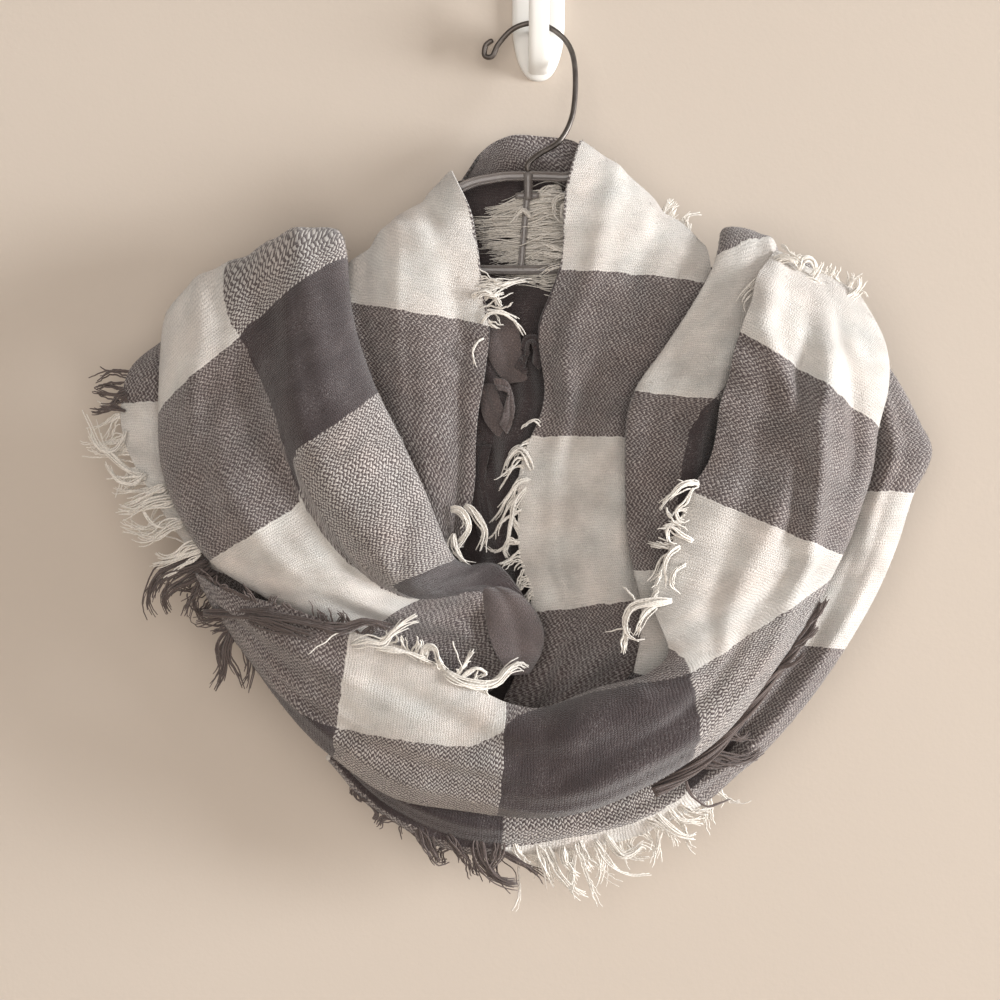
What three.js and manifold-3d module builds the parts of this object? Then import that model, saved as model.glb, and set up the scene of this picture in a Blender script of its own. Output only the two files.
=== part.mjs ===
// A blanket scarf, woven in a large two-colour check, joined into a loop and worn double.
// It hangs on a small clear hanger, and the hanger's wire hangs on a stick-on wall hook.
//
// Millimetres. X runs to the right, Z up, and Y into the wall: the wall is the plane Y = 0, and
// "out" is the distance in front of it. The origin is the centre of the wall hook's back face.

import * as THREE from "three";
import Module from "manifold-3d";
import { mergeVertices } from "three/addons/utils/BufferGeometryUtils.js";

// ---- Driving dimensions -------------------------------------------------------------------

const CLOTH = 2;             // thickness of the brushed cloth
const SEAM = 0.3;            // gap where one stretch of the band runs on into the next
const FRINGE = 1.6;          // thickness of the plain solid that a fringe fills
const FRINGE_GAP = 0.8;      // gap between a raw edge and its fringe
const CURL = 5;              // radius of the small circle that a folded edge curls round
const ROLLED_EDGE = 6;       // the raw edge rolled into a cord, across
const LINES_PER_ROW = 2;     // grid lines along a stretch for each row of its table

const HOOK_WIDTH = 29;       // stick-on wall hook
const HOOK_HEIGHT = 68;
const HOOK_PLATE = 5;
const TONGUE_WIDTH = 11;
const TONGUE_EDGE = 1.5;     // rounding of the tongue's edges

const WIRE = 3;              // hanger wire, across
const RAIL = 6;              // the clear hanger's arms and bar, across
const BOSS_RADIUS = 5;
const BOSS_HEIGHT = 15;
const HANGER_X = -6;         // middle of the hanger
const HANGER_OUT = 37;       // distance of the hanger from the wall

const wasm = await Module();
wasm.setup();

const group = new THREE.Group();

// ---- Shared geometry ----------------------------------------------------------------------

const point = (x, z, out) => new THREE.Vector3(x, -out, z);

// Names the columns of a table: each row becomes an object.
const table = (columns, rows) =>
  rows.map((row) => Object.fromEntries(columns.map((name, i) => [name, row[i]])));

// A smooth curve through four neighbouring values, at f between the middle two.
const smooth = (a, b, c, d, f) =>
  b + 0.5 * f * (c - a + f * (2 * a - 5 * b + 4 * c - d + f * (3 * (b - c) + d - a)));

// The section at s, counted in rows of the table, with every column taken smoothly.
function sectionAt(rows, s) {
  const last = rows.length - 1;
  const i = Math.min(Math.max(Math.floor(s), 0), last - 1);
  const pick = (k) => rows[Math.min(Math.max(k, 0), last)];
  const section = {};
  for (const name of Object.keys(rows[0])) {
    const [a, b, c, d] = [pick(i - 1), pick(i), pick(i + 1), pick(i + 2)].map((row) => row[name]);
    section[name] = smooth(a, b, c, d, s - i);
  }
  return section;
}

// A soft ridge (or trough, where high is negative) along a straight line in the band.
function foldHeight(folds, s, t) {
  let sum = 0;
  for (const fold of folds) {
    const run = THREE.MathUtils.clamp((s - fold.fromRow) / (fold.toRow - fold.fromRow), 0, 1);
    const past = Math.max(fold.fromRow - s, s - fold.toRow, 0);
    const side = (t - THREE.MathUtils.lerp(fold.fromAcross, fold.toAcross, run)) / fold.wide;
    sum += fold.high * Math.exp(-side * side - past * past);
  }
  return sum;
}

// A stretch of cloth. A section is a half ellipse standing on the line from edge A to edge B.
// A folded edge (positive turn, in degrees) runs on past the ellipse's end and curls behind on
// a small circle; a raw edge (negative turn) stops short of the end and lies flat. "face" is
// the way the cloth faces: 0 to the room, 90 up, 180 to the wall.
function clothPoint(cloth, s, t) {
  const row = sectionAt(cloth.rows, s);
  const a = point(row.ax, row.az, row.aout);
  const b = point(row.bx, row.bz, row.bout);
  const chord = b.clone().sub(a);
  const width = chord.length();
  chord.divideScalar(width);
  const face = THREE.MathUtils.degToRad(row.face);
  const front = new THREE.Vector3(0, -Math.cos(face), Math.sin(face));
  front.addScaledVector(chord, -front.dot(chord)).normalize();

  const startTurn = THREE.MathUtils.degToRad(-row.turnA);
  const endTurn = Math.PI + THREE.MathUtils.degToRad(row.turnB);
  const angle = THREE.MathUtils.lerp(startTurn, endTurn, t);
  const rawA = Math.max(startTurn, 0);
  const rawB = Math.min(endTurn, Math.PI);
  const along = (value) => (1 - Math.cos(value)) / 2;
  const held = THREE.MathUtils.clamp(angle, 0, Math.PI);
  const across = (along(held) - along(rawA)) / (along(rawB) - along(rawA));
  const lift = Math.sin(held) - THREE.MathUtils.lerp(Math.sin(rawA), Math.sin(rawB), across);
  const past = Math.max(-angle, angle - Math.PI, 0);
  const curl = CURL * (1 - Math.cos(past));
  const side = width * across + (angle < 0 ? curl : -curl);
  const height = row.crown * lift - CURL * Math.sin(past);
  const fold = foldHeight(cloth.folds, s, across);
  return a.addScaledVector(chord, side).addScaledVector(front, height + fold);
}

// The direction that a stretch faces at (s, t), from two short steps on it.
function clothNormal(cloth, s, t) {
  const step = 0.02;
  const last = cloth.rows.length - 1;
  const [s0, s1] = [Math.max(s - step, 0), Math.min(s + step, last)];
  const [t0, t1] = [Math.max(t - step, 0), Math.min(t + step, 1)];
  const alongBand = clothPoint(cloth, s1, t).sub(clothPoint(cloth, s0, t));
  const acrossBand = clothPoint(cloth, s, t1).sub(clothPoint(cloth, s, t0));
  return alongBand.cross(acrossBand).normalize();
}

// Closes a grid of middle points and normals into a wall of even thickness.
function wallGeometry(grid, normals, thick) {
  const down = grid.length;
  const wide = grid[0].length;
  const positions = [];
  for (const side of [0.5, -0.5]) {
    grid.forEach((line, i) => line.forEach((middle, j) => {
      const moved = middle.clone().addScaledVector(normals[i][j], side * thick);
      positions.push(moved.x, moved.y, moved.z);
    }));
  }
  const id = (side, i, j) => side * down * wide + i * wide + j;
  const faces = [];
  const quad = (a, b, c, d) => faces.push(a, b, c, a, c, d);
  for (let i = 0; i < down - 1; i += 1) {
    for (let j = 0; j < wide - 1; j += 1) {
      quad(id(0, i, j), id(0, i + 1, j), id(0, i + 1, j + 1), id(0, i, j + 1));
      quad(id(1, i, j), id(1, i, j + 1), id(1, i + 1, j + 1), id(1, i + 1, j));
    }
  }
  for (let i = 0; i < down - 1; i += 1) {
    quad(id(0, i, 0), id(1, i, 0), id(1, i + 1, 0), id(0, i + 1, 0));
    quad(id(0, i + 1, wide - 1), id(1, i + 1, wide - 1), id(1, i, wide - 1), id(0, i, wide - 1));
  }
  for (let j = 0; j < wide - 1; j += 1) {
    quad(id(0, 0, j + 1), id(1, 0, j + 1), id(1, 0, j), id(0, 0, j));
    quad(id(0, down - 1, j), id(1, down - 1, j), id(1, down - 1, j + 1), id(0, down - 1, j + 1));
  }
  const geometry = new THREE.BufferGeometry();
  geometry.setAttribute("position", new THREE.Float32BufferAttribute(positions, 3));
  geometry.setIndex(faces);
  return geometry;
}

// Turns the faces outward where the grid ran the other way round.
function facingOut(geometry) {
  const position = geometry.attributes.position;
  const index = geometry.index.array;
  const corner = (k) => new THREE.Vector3().fromBufferAttribute(position, index[k]);
  let volume = 0;
  for (let k = 0; k < index.length; k += 3) {
    volume += corner(k).dot(corner(k + 1).cross(corner(k + 2)));
  }
  if (volume < 0) {
    for (let k = 0; k < index.length; k += 3) {
      [index[k + 1], index[k + 2]] = [index[k + 2], index[k + 1]];
    }
  }
  return geometry;
}

function add(name, geometry, finish) {
  const mesh = new THREE.Mesh(geometry, new THREE.MeshStandardMaterial(finish));
  mesh.name = name;
  group.add(mesh);
  return mesh;
}

// Adds the stretch between two rows of the table, stopped half a seam short at a joined end.
function addCloth(name, cloth, finish, { from = 0, to = cloth.rows.length - 1, cells = 10 } = {}) {
  const last = cloth.rows.length - 1;
  const rowLength = (s, t) => clothPoint(cloth, Math.min(s + 0.1, last), t)
    .distanceTo(clothPoint(cloth, Math.max(s - 0.1, 0), t)) / 0.2;
  const lines = Math.round((to - from) * LINES_PER_ROW);
  const at = (i, t) => {
    if (i === 0 && from > 0) return from + SEAM / 2 / rowLength(from, t);
    if (i === lines && to < last) return to - SEAM / 2 / rowLength(to, t);
    return THREE.MathUtils.lerp(from, to, i / lines);
  };
  const range = (n) => Array.from({ length: n + 1 }, (_, k) => k);
  const grid = range(lines).map((i) =>
    range(cells).map((j) => clothPoint(cloth, at(i, j / cells), j / cells)));
  const normals = range(lines).map((i) =>
    range(cells).map((j) => clothNormal(cloth, at(i, j / cells), j / cells)));
  return add(name, facingOut(wallGeometry(grid, normals, CLOTH)), finish);
}

// A fringe fills a strip from a raw edge of a stretch out to the tips of its yarns. Each row
// of "reach" gives a place on the edge, and how far the tips lie from the edge there. On edge
// A or B the place counts rows of the band's table; on its start it runs from 0 at A to 1 at B.
function addFringe(name, cloth, edge, reach, finish) {
  const onBand = (place, inward) => {
    if (edge === "A") return [place, inward];
    if (edge === "B") return [place, 1 - inward];
    return [inward, place];
  };
  const grid = reach.map((tip) => {
    const root = clothPoint(cloth, ...onBand(tip.place, 0));
    const inside = clothPoint(cloth, ...onBand(tip.place, 0.04));
    const outward = root.clone().sub(inside).normalize();
    const reachLine = point(tip.x, tip.z, tip.out);
    root.addScaledVector(outward, FRINGE_GAP);
    const halfWay = root.clone().addScaledVector(reachLine, 0.35).addScaledVector(outward, 2);
    return [root, halfWay, root.clone().add(reachLine)];
  });
  const normals = grid.map((line, i) => {
    const before = grid[Math.max(i - 1, 0)];
    const after = grid[Math.min(i + 1, grid.length - 1)];
    const own = line.map((_, j) => {
      const alongEdge = after[j].clone().sub(before[j]);
      const toTip = line[Math.min(j + 1, 2)].clone().sub(line[Math.max(j - 1, 0)]);
      return alongEdge.cross(toTip).normalize();
    });
    const clothSide = clothNormal(cloth, ...onBand(reach[i].place, 0));
    own[0] = clothSide.multiplyScalar(Math.sign(clothSide.dot(own[0])));
    return own;
  });
  return add(name, facingOut(wallGeometry(grid, normals, FRINGE)), finish);
}

// ---- Finishes -----------------------------------------------------------------------------

const WHITE_PLASTIC = { color: 0xf4f1ec, roughness: 0.35, metalness: 0 };
const DARK_WIRE = { color: 0x4a4541, roughness: 0.4, metalness: 1 };
const CLEAR_PLASTIC = { color: 0x8f8881, roughness: 0.25, metalness: 0 };
const CHECK_CLOTH = { color: 0x9b9189, roughness: 0.95, metalness: 0 };
const WHITE_YARN = { color: 0xe9e2d6, roughness: 0.95, metalness: 0 };
const DARK_YARN = { color: 0x4f4646, roughness: 0.95, metalness: 0 };

// ---- Wall hook ----------------------------------------------------------------------------

const solid = (geometry) => {
  const bare = geometry.clone();
  bare.deleteAttribute("normal");
  bare.deleteAttribute("uv");
  const merged = mergeVertices(bare, 1e-4);
  return new wasm.Manifold(new wasm.Mesh({
    numProp: 3,
    vertProperties: new Float32Array(merged.attributes.position.array),
    triVerts: new Uint32Array(merged.index.array),
  }));
};

const geometryOf = (manifold) => {
  const { vertProperties, triVerts } = manifold.getMesh();
  const geometry = new THREE.BufferGeometry();
  geometry.setAttribute("position", new THREE.Float32BufferAttribute(vertProperties, 3));
  geometry.setIndex(Array.from(triVerts));
  return geometry;
};

// The plate: straight sides above, narrowing to a round lower end.
const plateOutline = new THREE.Shape();
const halfWidth = HOOK_WIDTH / 2;
const halfHeight = HOOK_HEIGHT / 2;
plateOutline.moveTo(-halfWidth, 0);
plateOutline.bezierCurveTo(-halfWidth, -halfHeight * 0.7, -8, -halfHeight, 0, -halfHeight);
plateOutline.bezierCurveTo(8, -halfHeight, halfWidth, -halfHeight * 0.7, halfWidth, 0);
plateOutline.lineTo(halfWidth, halfHeight - 8);
plateOutline.absarc(halfWidth - 8, halfHeight - 8, 8, 0, Math.PI / 2, false);
plateOutline.lineTo(-halfWidth + 8, halfHeight);
plateOutline.absarc(-halfWidth + 8, halfHeight - 8, 8, Math.PI / 2, Math.PI, false);
plateOutline.closePath();
const plate = new THREE.ExtrudeGeometry(plateOutline, {
  depth: HOOK_PLATE, bevelEnabled: false, curveSegments: 8,
});
plate.rotateX(Math.PI / 2);

// The tongue: swells from the plate's foot and turns up in front of it, with a seat for a wire.
const tongueOutline = new THREE.Shape();
tongueOutline.moveTo(4, -31);
tongueOutline.quadraticCurveTo(20, -24, 24.5, -8);
tongueOutline.quadraticCurveTo(27, 2, 27, 12);
tongueOutline.quadraticCurveTo(25, 15, 23, 12);
tongueOutline.quadraticCurveTo(22.5, -2, 19, -5.5);
tongueOutline.quadraticCurveTo(13, -11, 4, -7);
tongueOutline.closePath();
const tongue = new THREE.ExtrudeGeometry(tongueOutline, {
  depth: TONGUE_WIDTH - 2 * TONGUE_EDGE, bevelThickness: TONGUE_EDGE, bevelSize: TONGUE_EDGE / 2,
  bevelOffset: -TONGUE_EDGE / 2, bevelSegments: 2, curveSegments: 6,
});
tongue.translate(0, 0, TONGUE_EDGE - TONGUE_WIDTH / 2);
tongue.applyMatrix4(new THREE.Matrix4().makeBasis(
  new THREE.Vector3(0, -1, 0), new THREE.Vector3(0, 0, 1), new THREE.Vector3(-1, 0, 0),
));
add("wall_hook", geometryOf(solid(plate).add(solid(tongue))), WHITE_PLASTIC);

// ---- Hanger -------------------------------------------------------------------------------

// A rod of round section through the points given, with a step about every six millimetres.
function rodGeometry(points, across, sides = 8) {
  const section = new THREE.Shape();
  section.absarc(0, 0, across / 2, 0, Math.PI * 2, false);
  const path = new THREE.CatmullRomCurve3(points);
  const steps = Math.round(path.getLength() / 6);
  return new THREE.ExtrudeGeometry(section, {
    steps, extrudePath: path, curveSegments: sides / 2,
  });
}

// The wire: a small open eye at its tip, over the tongue, and down to the boss.
add("hanger_wire", rodGeometry([
  point(-25, -13, 12), point(-29, -16, 11.5), point(-29.5, -21.5, 11.5), point(-25.5, -22, 12.5),
  point(-22, -15.5, 13.5), point(-15, -8, 14), point(-7, -4.6, 14.5), point(1, -4.6, 14.3),
  point(10, -9.5, 15.5), point(16.5, -17, 16.5), point(19.5, -28, 19), point(19.5, -46, 24),
  point(17, -60, 28), point(10.5, -71.5, 32), point(0, -78.5, 35), point(HANGER_X, -84, HANGER_OUT),
  point(HANGER_X, -88, HANGER_OUT),
], WIRE), DARK_WIRE);

const boss = new THREE.CylinderGeometry(BOSS_RADIUS, BOSS_RADIUS * 0.8, BOSS_HEIGHT, 16);
boss.rotateX(Math.PI / 2);
boss.translate(HANGER_X, -HANGER_OUT, -96);
const arms = rodGeometry([
  point(-119, -125.5, 38), point(-119.5, -134, 38), point(-113, -144.5, 38), point(-99, -147, 38),
  point(-74, -122, 38), point(-44, -98, 38), point(-24, -91.5, HANGER_OUT),
  point(HANGER_X, -90.5, HANGER_OUT), point(10, -91, HANGER_OUT), point(30, -93, 38),
  point(60, -116.5, 38), point(84, -138.5, 38), point(97, -142, 38), point(106, -134, 38),
  point(108, -125.5, 38),
], RAIL);
const bar = rodGeometry([
  point(-96, -141, 38), point(-60, -141, 38), point(HANGER_X, -141, HANGER_OUT),
  point(50, -141, 38), point(86, -139, 38),
], RAIL);
const strut = rodGeometry([
  point(HANGER_X, -94, HANGER_OUT), point(-8, -118, HANGER_OUT), point(-10, -141, HANGER_OUT),
], RAIL);
const bracket = rodGeometry([
  point(HANGER_X - 8, -103, HANGER_OUT), point(HANGER_X + 8, -103, HANGER_OUT),
], RAIL);
const wireSeat = rodGeometry([
  point(HANGER_X, -80, HANGER_OUT), point(HANGER_X, -88.3, HANGER_OUT),
], WIRE + SEAM * 2, 16);
add("hanger_body",
  geometryOf(solid(boss).add(solid(arms)).add(solid(bar)).add(solid(strut))
    .add(solid(bracket)).subtract(solid(wireSeat))), CLEAR_PLASTIC);

// ---- The band, stretch by stretch ---------------------------------------------------------

const SECTION = ["ax", "az", "aout", "bx", "bz", "bout", "crown", "face", "turnA", "turnB"];
const FOLD = ["fromRow", "fromAcross", "toRow", "toAcross", "wide", "high"];

// The outer turn. From the middle it climbs to the left shoulder, crosses the back and comes
// over the right shoulder. Edge A is the outer or lower edge, and edge B the inner or upper.
const outerTurn = {
  rows: table(SECTION, [
    [-26, -366, 56, 3, -336, 60, 6, 0, 40, 40],
    [-62, -352, 62, -20, -302, 66, 8, 0, 70, 60],
    [-107, -335, 66, -38, -300, 70, 12, 0, 70, 75],
    [-142, -318, 66, -48, -292, 75, 18, 0, 70, 75],
    [-172, -298, 65, -60, -265, 75, 20, 0, 70, 75],
    [-189, -275, 62, -74, -233, 73, 21, 0, 70, 75],
    [-199, -250, 58, -90, -200, 70, 20, 0, 70, 75],
    [-202, -222, 54, -100, -165, 66, 18, 5, 70, 75],
    [-202, -190, 49, -104, -134, 56, 16, 25, 60, 60],
    [-199, -169, 38, -107, -123, 39, 14, 90, 10, 10],
    [-190, -184, 25, -103, -138, 24, 9, 150, 10, -30],
    [-187, -232, 19, -92, -158, 17, 12, 180, 50, -50],
    [-150, -302, 19, -68, -160, 16, 14, 180, 60, -50],
    [-78, -350, 19, -36, -161, 16, 15, 180, 60, -50],
    [0, -368, 19, 0, -162, 16, 15, 180, 60, -50],
    [76, -350, 19, 38, -161, 16, 15, 180, 60, -50],
    [142, -300, 19, 72, -159, 16, 14, 180, 60, -50],
    [172, -235, 19, 92, -152, 17, 12, 180, 40, -50],
    [170, -178, 24, 99, -137, 24, 7, 150, 0, -30],
    [170, -158, 37, 99, -121, 38, 9, 90, -30, 0],
    [169, -180, 44, 92, -143, 57, 8, 30, -60, 40],
    [160, -220, 48, 67, -184, 65, 8, 5, -60, 40],
    [150, -257, 50, 49, -212, 67, 8, 0, -60, 40],
    [140, -290, 52, 45, -248, 68, 8, 0, -60, 40],
    [130, -318, 54, 47, -286, 68, 8, 0, -60, 40],
    [118, -342, 56, 54, -322, 67, 8, 0, -60, 40],
    [104, -368, 57, 50, -356, 64, 6, 0, -60, 30],
  ]),
  folds: table(FOLD, [
    [3, 0.55, 6.5, 0.5, 0.09, -9],
    [2.8, 0.8, 6, 0.78, 0.16, 5],
    [11.5, 0.62, 16.5, 0.58, 0.09, -4],
    [11.5, 0.3, 16.5, 0.28, 0.1, 4],
    [20, 0.74, 25, 0.7, 0.14, 5],
    [20, 0.5, 25, 0.46, 0.12, -7],
  ]),
};
const OUTER_LEFT_END = 10;
const OUTER_BACK_END = 18;

// The inner turn. It climbs to the hanger's left arm, passes behind the neck, comes over the
// right arm, and runs straight down and off to the left at its foot.
const innerTurn = {
  rows: table(SECTION, [
    [-76, -292, 48, -25, -286, 50, 18, 0, -60, -45],
    [-90, -268, 48, -27, -245, 52, 20, 0, -60, -45],
    [-102, -240, 48, -28, -206, 53, 20, 0, -60, -45],
    [-108, -212, 48, -27, -172, 53, 20, 0, -60, -45],
    [-111, -185, 49, -32, -142, 53, 20, 0, -60, -45],
    [-109, -160, 48, -38, -112, 50, 16, 25, -60, -45],
    [-103, -140, 38, -46, -88, 38, 3, 90, -60, -45],
    [-92, -150, 27, -44, -96, 27, 2, 140, -60, -45],
    [-60, -146, 21, -32, -78, 21, 1, 180, -60, -50],
    [-28, -116, 20, -17, -69, 18, 1, 180, -60, -50],
    [2, -107, 20, 2, -68, 18, 1, 180, -60, -50],
    [34, -116, 20, 20, -70, 19, 1, 180, -60, -50],
    [64, -140, 23, 25, -76, 24, 1, 170, -60, -45],
    [86, -143, 29, 24, -80, 29, 2, 130, -60, -45],
    [89, -127, 38, 22, -71, 38, 2, 90, -60, -45],
    [90, -150, 46, 15, -97, 50, 16, 25, -60, -45],
    [80, -184, 50, 11, -136, 53, 20, 0, -60, -45],
    [70, -212, 50, 0, -172, 53, 20, 0, -60, -45],
    [62, -240, 50, 3, -212, 53, 20, 0, -60, -45],
    [60, -272, 50, -9, -248, 54, 20, 0, -60, -45],
    [60, -306, 50, -11, -292, 54, 20, 0, -60, -45],
    [56, -342, 49, -3, -320, 51, 20, 0, -60, -45],
    [34, -372, 47, -10, -350, 47, 18, 0, -60, -45],
    [8, -396, 43, -20, -374, 43, 14, 0, -60, -45],
  ]),
  folds: table(FOLD, [
    [0.5, 0.6, 4.5, 0.55, 0.14, 3],
    [18.5, 0.55, 21.5, 0.5, 0.12, -4],
  ]),
};
const INNER_LEFT_END = 7;
const NECK_END = 13;

// The front swag: from the right shoulder down and round to the left. Edge A is the inner or
// upper edge, raw on the right and folded under in the middle; edge B is the outer fold.
const frontSwag = {
  rows: table(SECTION, [
    [124, -134, 51, 170, -155, 45, 3, 60, -40, 0],
    [111, -153, 72, 183, -182, 53, 12, 25, -40, 40],
    [104, -182, 80, 184, -204, 56, 17, 5, -40, 70],
    [96, -212, 82, 178, -230, 60, 20, 0, -40, 70],
    [87, -243, 84, 172, -258, 64, 20, 0, -40, 70],
    [76, -268, 86, 163, -283, 68, 20, 0, -40, 70],
    [66, -294, 86, 153, -305, 70, 18, 0, -40, 70],
    [59, -320, 86, 143, -324, 72, 16, 0, -40, 70],
    [66, -343, 88, 124, -352, 74, 15, 0, -30, 70],
    [56, -355, 90, 94, -388, 74, 16, 0, -10, 70],
    [30, -363, 90, 55, -414, 74, 20, 0, 10, 70],
    [-8, -374, 90, 10, -430, 72, 22, 0, -10, 70],
    [-40, -360, 90, -32, -428, 70, 22, 0, -35, 70],
    [-72, -342, 90, -76, -421, 66, 20, 0, -40, 70],
    [-102, -331, 88, -112, -398, 62, 16, 0, -40, 70],
    [-136, -322, 82, -140, -368, 58, 12, 0, -40, 60],
    [-164, -312, 72, -159, -343, 54, 8, 0, -40, 40],
    [-182, -304, 62, -172, -324, 52, 5, 0, -40, 0],
  ]),
  folds: table(FOLD, [
    [2.5, 0.55, 5.5, 0.6, 0.12, 4],
    [10.5, 0.4, 13, 0.3, 0.14, -5],
  ]),
};
const FRONT_SPLIT = 8;

// Left behind: the second turn of the band, where it shows past the outer left.
const leftBehind = {
  rows: table(SECTION, [
    [-204, -180, 37, -165, -168, 37, 12, 40, -50, -60],
    [-220, -195, 39, -160, -186, 41, 20, 20, -50, -60],
    [-226, -216, 40, -155, -214, 43, 24, 0, -50, -60],
    [-222, -236, 41, -150, -240, 44, 24, 0, -50, -60],
    [-211, -257, 42, -145, -268, 42, 24, 0, -50, -60],
    [-196, -278, 43, -140, -296, 40, 24, 0, -50, -60],
    [-182, -300, 44, -134, -322, 40, 20, 0, -50, -60],
    [-172, -322, 44, -128, -342, 40, 18, 0, -50, -60],
    [-160, -340, 42, -120, -360, 38, 14, 0, -50, -60],
  ]),
  folds: [],
};

// The back swag: the second turn where it shows past the outer right and under the front.
const backSwag = {
  rows: table(SECTION, [
    [140, -172, 36.6, 178, -184, 35.5, 4, 40, -60, 30],
    [150, -190, 40.6, 191, -200, 37, 8, 15, -60, 50],
    [150, -215, 41, 204, -224, 38, 14, 0, -60, 50],
    [150, -240, 40, 210, -240, 38, 14, 0, -60, 50],
    [148, -262, 42, 200, -262, 38, 14, 0, -60, 50],
    [142, -290, 44, 191, -290, 40, 14, 0, -60, 50],
    [130, -320, 46, 177, -322, 42, 14, 0, -60, 50],
    [114, -350, 48, 155, -357, 42, 14, 0, -60, 50],
    [96, -376, 50, 128, -390, 42, 15, 0, -60, 20],
    [74, -395, 50, 98, -418, 42, 18, 0, -60, -25],
    [44, -408, 50, 56, -444, 42, 20, 0, -60, -25],
    [4, -416, 50, 4, -454, 42, 20, 0, -60, -25],
    [-34, -414, 50, -42, -454, 42, 20, 0, -60, -25],
    [-70, -405, 48, -84, -434, 42, 15, 0, -60, -25],
    [-100, -388, 44, -114, -403, 40, 12, 0, -60, -25],
  ]),
  folds: [],
};
const BACK_SPLIT = 8;

// The middle: crumpled dark cloth in the gap between the two inner stretches.
const middle = {
  rows: table(SECTION, [
    [-44, -139, 31.6, 10, -139, 32.5, 0.5, 0, -60, -60],
    [-46, -185, 38, 6, -185, 32, 4, 0, -60, -60],
    [-44, -225, 34, 8, -225, 40, 4, 0, -60, -60],
    [-44, -265, 40, 0, -265, 34, 4, 0, -60, -60],
    [-42, -305, 36, 2, -310, 38, 4, 0, -60, -60],
    [-38, -345, 37, 6, -345, 35, 4, 0, -60, -60],
    [-38, -385, 32.8, 8, -385, 30.2, 2, 0, -60, -60],
  ]),
  folds: [],
};

// The bottom back: the second turn as it comes round behind.
const bottomBack = {
  rows: table(SECTION, [
    [-142, -215, 31, -204, -222, 33, 7, 180, -60, 40],
    [-128, -260, 31, -188, -282, 33, 8, 180, -60, 50],
    [-98, -310, 31, -148, -345, 34, 9, 180, -60, 50],
    [-54, -345, 30, -92, -405, 34, 9, 180, -60, 50],
    [0, -360, 30, 0, -440, 34, 10, 180, -60, 50],
    [54, -345, 30, 88, -405, 34, 9, 180, -60, 50],
    [98, -310, 31, 148, -345, 34, 9, 180, -60, 50],
    [126, -260, 31, 182, -280, 33, 8, 180, -60, 50],
    [138, -215, 31, 190, -220, 32, 7, 180, -60, 40],
  ]),
  folds: [],
};

addCloth("inner_left", innerTurn, CHECK_CLOTH, { to: INNER_LEFT_END, cells: 8 });
addCloth("neck_back", innerTurn, CHECK_CLOTH, { from: INNER_LEFT_END, to: NECK_END, cells: 6 });
addCloth("inner_right", innerTurn, CHECK_CLOTH, { from: NECK_END, cells: 8 });
addCloth("outer_left_front", outerTurn, CHECK_CLOTH, { to: OUTER_LEFT_END, cells: 12 });
addCloth("outer_back", outerTurn, CHECK_CLOTH,
  { from: OUTER_LEFT_END, to: OUTER_BACK_END, cells: 10 });
addCloth("right_strip", outerTurn, CHECK_CLOTH, { from: OUTER_BACK_END, cells: 10 });
addCloth("outer_right_front", frontSwag, CHECK_CLOTH, { to: FRONT_SPLIT, cells: 10 });
addCloth("bottom_front", frontSwag, CHECK_CLOTH, { from: FRONT_SPLIT, cells: 10 });
addCloth("left_behind", leftBehind, CHECK_CLOTH, { cells: 6 });
addCloth("right_behind", backSwag, CHECK_CLOTH, { to: BACK_SPLIT, cells: 8 });
addCloth("bottom_behind", backSwag, CHECK_CLOTH, { from: BACK_SPLIT, cells: 8 });
addCloth("middle_fold", middle, CHECK_CLOTH, { cells: 6 });
addCloth("bottom_back", bottomBack, CHECK_CLOTH, { cells: 6 });

// The rolled raw edge that lies between the front swag and the back swag on the right.
add("rolled_edge", rodGeometry([
  point(146, -319, 64), point(133, -341, 65.5), point(117, -363, 66), point(102, -383, 66),
  point(87, -400, 66), point(73, -411, 66), point(60, -419, 66),
], ROLLED_EDGE), DARK_YARN);

// ---- Fringes ------------------------------------------------------------------------------

const REACH = ["place", "x", "z", "out"];

addFringe("fringe_left_top", leftBehind, "A", table(REACH, [
  [1, -16, 4, 2], [1.5, -19, 0, 3], [1.9, -18, -3, 3],
]), DARK_YARN);
addFringe("fringe_left", leftBehind, "A", table(REACH, [
  [2, -16, -6, 3], [2.5, -17, -10, 3], [3, -17, -15, 4], [3.5, -18, -14, 4], [4, -20, -12, 5],
  [4.5, -21, -10, 5], [5, -21, -8, 5], [5.5, -20, -8, 5], [5.9, -19, -8, 4],
]), WHITE_YARN);
addFringe("fringe_left_low", leftBehind, "A", table(REACH, [
  [6, -20, -8, 4], [6.5, -22, -12, 5], [7, -18, -16, 5], [7.5, -12, -22, 5], [8, -8, -26, 4],
]), DARK_YARN);
addFringe("fringe_front_dark", frontSwag, "A", table(REACH, [
  [13.5, 0, 7, 3], [14, -1, 8, 3], [14.5, -2, 8, 3], [15, -3, 8, 3], [15.5, -4, 8, 3],
  [16, -5, 7, 3], [16.5, -6, 6, 3],
]), DARK_YARN);
addFringe("fringe_front_white", frontSwag, "A", table(REACH, [
  [11.5, 5, 8, 2], [12, 4, 10, 3], [12.5, 2, 10, 3], [13, 1, 10, 3], [13.4, 1, 9, 3],
]), WHITE_YARN);
addFringe("fringe_right_low", frontSwag, "A", table(REACH, [
  [5, -9, 0, 2], [5.5, -12, -3, 2], [6, -13, -5, 3], [6.5, -12, -6, 3], [7, -11, -5, 4],
]), WHITE_YARN);
addFringe("fringe_right_top", frontSwag, "start", table(REACH, [
  [0, -1, 5, 4], [0.3, 2, 7, 3], [0.7, 5, 7, 1], [0.97, 9, 6, 1],
]), WHITE_YARN);
addFringe("fringe_inner_left", innerTurn, "B", table(REACH, [
  [3, 12, -8, 4], [3.5, 14, -7, 4], [4, 12, -6, 4],
]), WHITE_YARN);
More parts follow.
